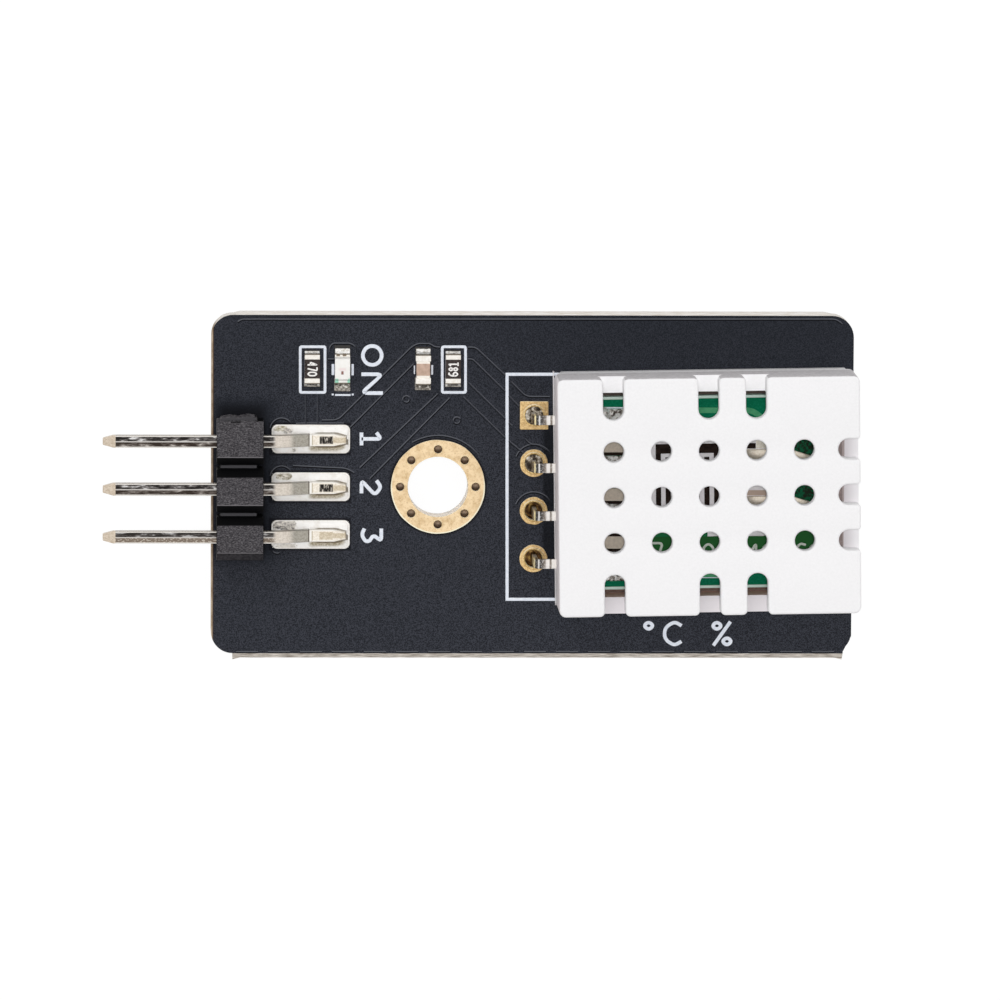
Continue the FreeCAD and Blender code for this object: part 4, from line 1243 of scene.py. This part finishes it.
# Strokes of the signs, in a box 2 wide and 4 high.
glyphs = {
    "0": [[(0, 1), (0, 3), (1, 4), (2, 3), (2, 1), (1, 0), (0, 1)]],
    "1": [[(0, 3), (1, 4), (1, 0)], [(0, 0), (2, 0)]],
    "2": [[(0, 3), (1, 4), (2, 3), (2, 2.4), (0, 0), (2, 0)]],
    "3": [[(0, 4), (2, 4), (1, 2.4), (2, 1.6), (2, 0.8), (1, 0), (0, 0.6)]],
    "4": [[(1.5, 0), (1.5, 4), (0, 1.2), (2, 1.2)]],
    "6": [[(2, 3.6), (1, 4), (0, 2.6), (0, 0.8), (1, 0), (2, 0.8), (2, 1.5), (1, 2.2), (0, 1.4)]],
    "7": [[(0, 4), (2, 4), (0.8, 0)]],
    "8": [[(1, 2.1), (0, 3), (1, 4), (2, 3), (1, 2.1), (0, 1), (1, 0), (2, 1), (1, 2.1)]],
    "O": [[(0, 1), (0, 3), (1, 4), (2, 3), (2, 1), (1, 0), (0, 1)]],
    "N": [[(0, 0), (0, 4), (2, 0), (2, 4)]],
    "C": [[(2, 3.3), (1.2, 4), (0, 3), (0, 1), (1.2, 0), (2, 0.7)]],
    "%": [[(2, 4), (0, 0)], [(-0.2, 3.3), (0.4, 4), (1.0, 3.3), (0.4, 2.6), (-0.2, 3.3)],
          [(1.0, 0.7), (1.6, 1.4), (2.2, 0.7), (1.6, 0), (1.0, 0.7)]],
    "d": [[(0.4, 3.3), (1.0, 4), (1.6, 3.3), (1.0, 2.6), (0.4, 3.3)]],
    " ": [],
}


def band(builder, path, width, level, height=silk_height, closed=False):
    """Low flat band along a flat path."""
    half = width / 2
    section = [(-half, 0), (-half + height, height), (half - height, height), (half, 0)]
    builder.sweep(raised(path, level), section, closed)


def write(builder, text, start, along, upward, size, stroke, level):
    """Strokes of a text from its lower left; the size is a sign's height, width and gap."""
    height, width, gap = size
    at = 0.0
    for sign in text:
        for line in glyphs[sign]:
            path = [start + along * (at + x / 2 * width) + upward * (y / 4 * height)
                    for x, y in line]
            closed = line[0] == line[-1]
            if closed:
                path.pop()
            if len(path) > 2:
                path = bent(path, 0.35 * width, closed=closed)
            band(builder, path, stroke, level, closed=closed)
        at += width + gap


def board_print():
    silk = Builder()
    for width, points in (
            (0.17, [(560, 374.3), (507.1, 374.3), (507.1, 599.3), (560, 599.3)]),
            (0.15, [(333.0, 364), (333.0, 375)]),
            (0.13, [(352.6, 364), (352.6, 375.3)]),
            (0.07, [(414.5, 365.5), (414.5, 374)]),
            (0.11, [(432.1, 365), (432.1, 374.6)]),
            (0.1, [(335, 395), (350.6, 395)]),
            (0.1, [(331.7, 394.5), (333.7, 394.5)]),
            (0.1, [(351.7, 394.5), (353.7, 394.5)])):
        band(silk, pixels(points, board_top), width, board_top)
    for u0, u1 in ((300.3, 325.0), (442.3, 465.5)):
        loop = pixels([(u0, 346.8), (u0, 392.4), (u1, 392.4), (u1, 346.8)], board_top)
        band(silk, bent(loop, 0.08, 3, True), 0.15, board_top, closed=True)
    for text, v, size in (("ON", 346, (1.14, 1.0, 0.5)), ("1", 432.5, (1.05, 0.68, 0)),
                          ("2", 480.5, (1.05, 0.68, 0)), ("3", 528.5, (1.05, 0.68, 0))):
        start = spot(361.5, v, board_top).to_2d()
        write(silk, text, start, -up, right, size, 0.2, board_top)
    start = spot(640, 645.5, board_top).to_2d()
    write(silk, "dC %", start, right, up, (1.28, 0.9, 0.4), 0.19, board_top)
    silk.piece("board_print", "silk", "white_plastic")


# Copper tracks that show through the mask, as pixels of the photograph.
tracks = (
    ((238, 322), (242, 319.6), (836, 319.6), (842, 324)),
    ((306, 394), (306, 423)),
    ((318, 394), (318, 423)),
    ((322, 420.4), (338, 420.4), (411, 348), (414, 346), (418, 344), (430, 344), (434, 347),
     (440, 347.6)),
    ((350, 428), (414, 364)),
    ((293, 466), (346, 468.6), (354, 473)),
    ((296, 424), (302, 423.6), (344, 423.6)),
    ((360, 468), (438, 394)),
    ((370, 479), (450, 398)),
    ((330, 352), (330, 347), (333, 343.6), (351, 343.6), (356, 348), (356, 353)),
    ((327.6, 359.4), (334.4, 359.4)),
    ((468, 347.6), (475.4, 347.6), (505.6, 376)),
    ((468, 359.4), (472.4, 359.4), (505.6, 392)),
    ((508.6, 396), (519, 407)),
    ((468.4, 383), (505.6, 419.5)),
    ((508.6, 423), (512, 426)),
    ((463, 397), (505.6, 438.5)),
    ((508.6, 441), (523, 453)),
    ((511, 382), (526, 397), (550, 397)),
    ((525, 439), (530.5, 445), (538.5, 445), (546, 450)),
)
dash_row = 652.2
dash_start = 236
dash_end = 834
dash_step = 32
dash_length = 22


def relief():
    """Copper tracks that show through the mask as low ridges."""
    lines = Builder()
    ridge = [(-0.06, 0), (-0.01, relief_height), (0.01, relief_height), (0.06, 0)]
    dashes = [((u, dash_row), (min(u + dash_length, dash_end), dash_row))
              for u in range(dash_start, dash_end, dash_step)]
    for points in (*tracks, *dashes):
        path = pixels(points, board_top)
        if len(path) > 2:
            path = bent(path, 0.3)
        lines.sweep(raised(path, board_top), ridge)
    arcs = [(Vector((0, 0)), 2.71, 38, 120)]
    for i in (2, 3):
        arcs.append((middle("sensor_pad_%d" % i), 0.98, 20, 160))
    for v in (429, 477):
        arcs.append((spot(281.5, v, board_top), 0.56, 20, 175))
    arcs.append((spot(277, 548, board_top), 0.3, 190, 300))
    for at, radius, first, last in arcs:
        path = arc(at.x, at.y, radius, first, last, (last - first) // 5)
        lines.sweep(raised(path, board_top), ridge)
    for u, v in ((406.4, 399.4), (456.9, 420.6)):
        at = spot(u, v, board_top)
        path = raised(circle(at.x, at.y, 0.17, 20), board_top)
        lines.sweep(path, [(-0.06, 0), (-0.02, 0.025), (0.02, 0.025), (0.06, 0)], True)
    lines.piece("board_relief", "mask_line", "board_mask")


def chip_codes():
    """Plain digits on the two resistors; they read the opposite ways."""
    height, width, gap = size = (0.5, 0.18, 0.085)
    for i, text, way in ((1, "470", 1), (2, "681", -1)):
        low, high = box("resistor_%d_coat" % i)
        along = up * -way
        upward = right * way
        start = ((low + high) / 2).to_2d() - along * (3 * width + 2 * gap) / 2 - upward * height / 2
        codes = Builder()
        write(codes, text, start, along, upward, size, 0.09, high.z - 0.005)
        codes.piece("resistor_%d_code" % i, "code_print", "white_plastic")


# What shows of the sensor's own board and element through the grille, by pixels of the photograph.
def tiles(builder, level, rows):
    """Thin plates, each given by its corners and its thickness."""
    for u0, v0, u1, v1, thick in rows:
        low = spot(u0, v1, level)
        high = spot(u1, v0, level)
        builder.plate([rounded_loop(low.x, high.x, low.y, high.y, 0.02, 2)], level, level + thick)


def strips(builder, rows):
    """Low bands on the inner board, each given by its width and its path."""
    for width, points in rows:
        path = pixels(points, inner_top)
        band(builder, bent(path, 0.3) if len(path) > 2 else path, width, inner_top)


def inner_lump(builder, v0, v1):
    """Crumpled lump of solder between two rows of the photograph."""
    low = spot(597, v1, inner_top)
    high = spot(630, v0, inner_top)

    def height(x, y):
        folds = noise.ridged_multi_fractal(Vector((x / 0.35, y / 0.35, v0)), 1.0, 2.0, 4, 1.0, 2.0)
        return min(0.05 + 0.05 * folds, rect_depth(x, y, low, high, 0.2) * 1.5)

    mound(builder, low, high, inner_top, height)


def inner_details():
    plates = Builder()
    tiles(plates, inner_top, [(596, 439.8, 631, 452.1, 0.1), (596, 488.2, 631, 500.6, 0.1),
                              (596, 536.3, 631, 548.4, 0.1)])
    plates.piece("inner_plates", "plate_metal", "solder")
    lumps = Builder()
    for v0, v1 in ((409, 438), (455.7, 486.5), (503.9, 533.4), (552.4, 581)):
        inner_lump(lumps, v0, v1)
    lumps.piece("inner_lumps", "inner_solder", "solder", crease=60)
    dark = Builder()
    strips(dark, [(0.17, [(596, v), (631, v)]) for v in (453.9, 502.3, 534.9, 550.3)])
    tiles(dark, element_top, [(746.4, 443, 755.7, 448.4, 0.05)])
    dark.piece("inner_dark", "electrode", "electrode")
    green = Builder()
    strips(green, [(0.3, [(690, 410.3), (752, 410.3), (776, 428)]),
                   (0.26, [(693, 574.6), (726, 574.6)])])
    green.piece("inner_tracks", "light_green", "green_board")
    lines = Builder()
    strips(lines, [(0.08, [(600, 407.8), (624, 407.8)]), (0.05, [(696, 577.6), (722, 577.6)])])
    lines.piece("inner_lines", "silk", "white_plastic")
    codes = Builder()
    for text, u in (("7", 652), ("0", 703), ("42", 748), ("61", 795)):
        start = spot(u, 562, inner_top).to_2d()
        write(codes, text, start, right, up, (1.0, 0.56, 0.22), 0.13, inner_top)
    tiles(codes, inner_top, [(707.7, 532.7, 718, 536, 0.02), (749, 531.5, 764, 536, 0.02)])
    codes.piece("inner_code", "inner_silk", "white_plastic")
    # A metal terminal on the element, and two thin bright strips along the leads that are painted
    # highlights.
    marks = Builder()
    tiles(marks, element_top, [(756, 440, 766, 448, 0.04), (745, 448.9, 766, 451, 0.08),
                               (745, 496, 766, 498.6, 0.08)])
    marks.piece("element_terminal_and_highlights", "chip_metal", "pin_metal")


sensor_cover()
sensor_flange()
gap_shade_strip()
mounting_ring()
sensor_pads()
for number, row in enumerate(pin_rows, 1):
    header_solder(number, row)
board_print()
relief()
chip_codes()
inner_details()

# Rounded copies: node, look, slot and width of the rounding.
for values in (
        ("header_housing", "black_plastic", "black_plastic", 0.05),
        *[("header_pin_%d" % i, "pin_metal", "pin_metal", 0.04) for i in (1, 2, 3)],
        *[("header_pad_%d" % i, "header_land", "chip_metal", 0.015) for i in (1, 2, 3)],
        *[("sensor_pin_%d" % i, "sensor_wire", "pin_metal", 0.04) for i in (1, 2, 3, 4)],
        *[("resistor_%d_ends" % i, "chip_end", "chip_metal", 0.03) for i in (1, 2)],
        ("capacitor_body", "capacitor_ceramic", "capacitor_ceramic", 0.04),
        ("capacitor_ends", "chip_end", "chip_metal", 0.06),
        ("led_lens", "led_resin", "led_resin", 0.05),
        ("led_ends", "chip_end", "chip_metal", 0.02),
        ("chip_pads", "chip_land", "chip_metal", 0.015),
        ("sensor_base", "base_plastic", "white_plastic", 0.05),
        ("humidity_element", "element", "white_ceramic", 0.03),
        ("humidity_leads", "inner_lead", "pin_metal", 0.04)):
    rounded_copy(*values)

# Melted copies: node, look, size of the voxels, rounds of smoothing, depth and size of the folds.
for values in (
        *[("inner_joint_%d" % i, "inner_solder", 0.05, 3, 0.04, 0.22) for i in (1, 2, 3, 4)],
        *[("pin_joint_%d" % i, "pin_joint", 0.045, 3, 0.03, 0.25) for i in (1, 2, 3, 4)],
        *[("resistor_%d_solder" % i, "fillet_solder", 0.035, 2, 0.015) for i in (1, 2)],
        ("capacitor_solder", "solder", 0.035, 12, 0.02, 0.15),
        ("led_solder", "solder", 0.035, 2, 0.02, 0.15)):
    soft_copy(*values)

# The other nodes keep their CAD form and take the look of their slot.
slot_of = {row["node"]: row["material_slot"] for row in frame["record"]["subparts"]}
for name, node in frame["nodes"].items():
    if not node.hide_render:
        node.data.materials.clear()
        node.data.materials.append(looks[slot_of[name]])


# Floor, world, light and camera.
def white_world(level):
    """World that is white to the camera and lights the part at its own level."""
    world = bpy.data.worlds.new("studio")
    nodes = Nodes(world)
    sky = [nodes.node("Background", [("Color", (1, 1, 1, 1)), ("Strength", strength)]).outputs[0]
           for strength in (level, 1.0)]
    mixed = nodes.node("MixShader", [(0, nodes.seen()), (1, sky[0]), (2, sky[1])])
    nodes.node("OutputWorld", [(0, mixed.outputs[0])])
    bpy.context.scene.world = world


def white_floor(level, half):
    """Floor that is white to the camera and keeps a faint shadow."""
    mesh = bpy.data.meshes.new("floor")
    mesh.from_pydata([(x * half * MM, y * half * MM, level * MM)
                      for x, y in ((-1, -1), (1, -1), (1, 1), (-1, 1))], [], [(0, 1, 2, 3)])
    floor = bpy.data.objects.new("floor", mesh)
    bpy.context.scene.collection.objects.link(floor)
    material = bpy.data.materials.new("floor")
    nodes = Nodes(material)
    matte = nodes.node("BsdfDiffuse", [("Color", (0.9, 0.9, 0.9, 1))])
    veil = nodes.node("BsdfDiffuse", [("Color", (0.12, 0.12, 0.12, 1))])
    glow = nodes.node("Emission", [("Strength", 0.92)])
    bright = nodes.node("AddShader", [(0, veil.outputs[0]), (1, glow.outputs[0])])
    mixed = nodes.node("MixShader", [(0, nodes.seen()), (1, matte.outputs[0]),
                                     (2, bright.outputs[0])])
    nodes.node("OutputMaterial", [(0, mixed.outputs[0])])
    mesh.materials.append(material)


def lamp(name, direction, strength, spread):
    """Distant soft light from a direction."""
    light = bpy.data.lights.new(name, "SUN")
    light.energy = strength
    light.angle = math.radians(spread)
    made = bpy.data.objects.new(name, light)
    bpy.context.scene.collection.objects.link(made)
    made.rotation_mode = "QUATERNION"
    made.rotation_quaternion = Vector(direction).to_track_quat("Z", "Y")
    made.visible_glossy = False


def photo_camera():
    axes = camera_axes()
    data = bpy.data.cameras.new("camera")
    data.sensor_width = SENSOR_CHIP
    data.lens = PIXELS_PER_MM * CAMERA_DISTANCE * SENSOR_CHIP / PICTURE
    data.clip_start = 0.01
    data.clip_end = 10
    camera = bpy.data.objects.new("camera", data)
    bpy.context.scene.collection.objects.link(camera)
    eye = (CAMERA_TARGET + axes[2] * CAMERA_DISTANCE) * MM
    camera.matrix_world = Matrix.Translation(eye) @ Matrix(axes).transposed().to_4x4()
    bpy.context.scene.camera = camera


bpy.context.scene.view_settings.view_transform = "Standard"
white_world(0.42)
white_floor(cad_box[0][2] / MM, 2000.0)
lamp("key", (-0.25, 0.6, 0.76), 0.6, 25)
lamp("fill", (0.5, -0.3, 0.8), 0.2, 60)
lamp("front", CAMERA_SIDE, 1.12, 6)
photo_camera()
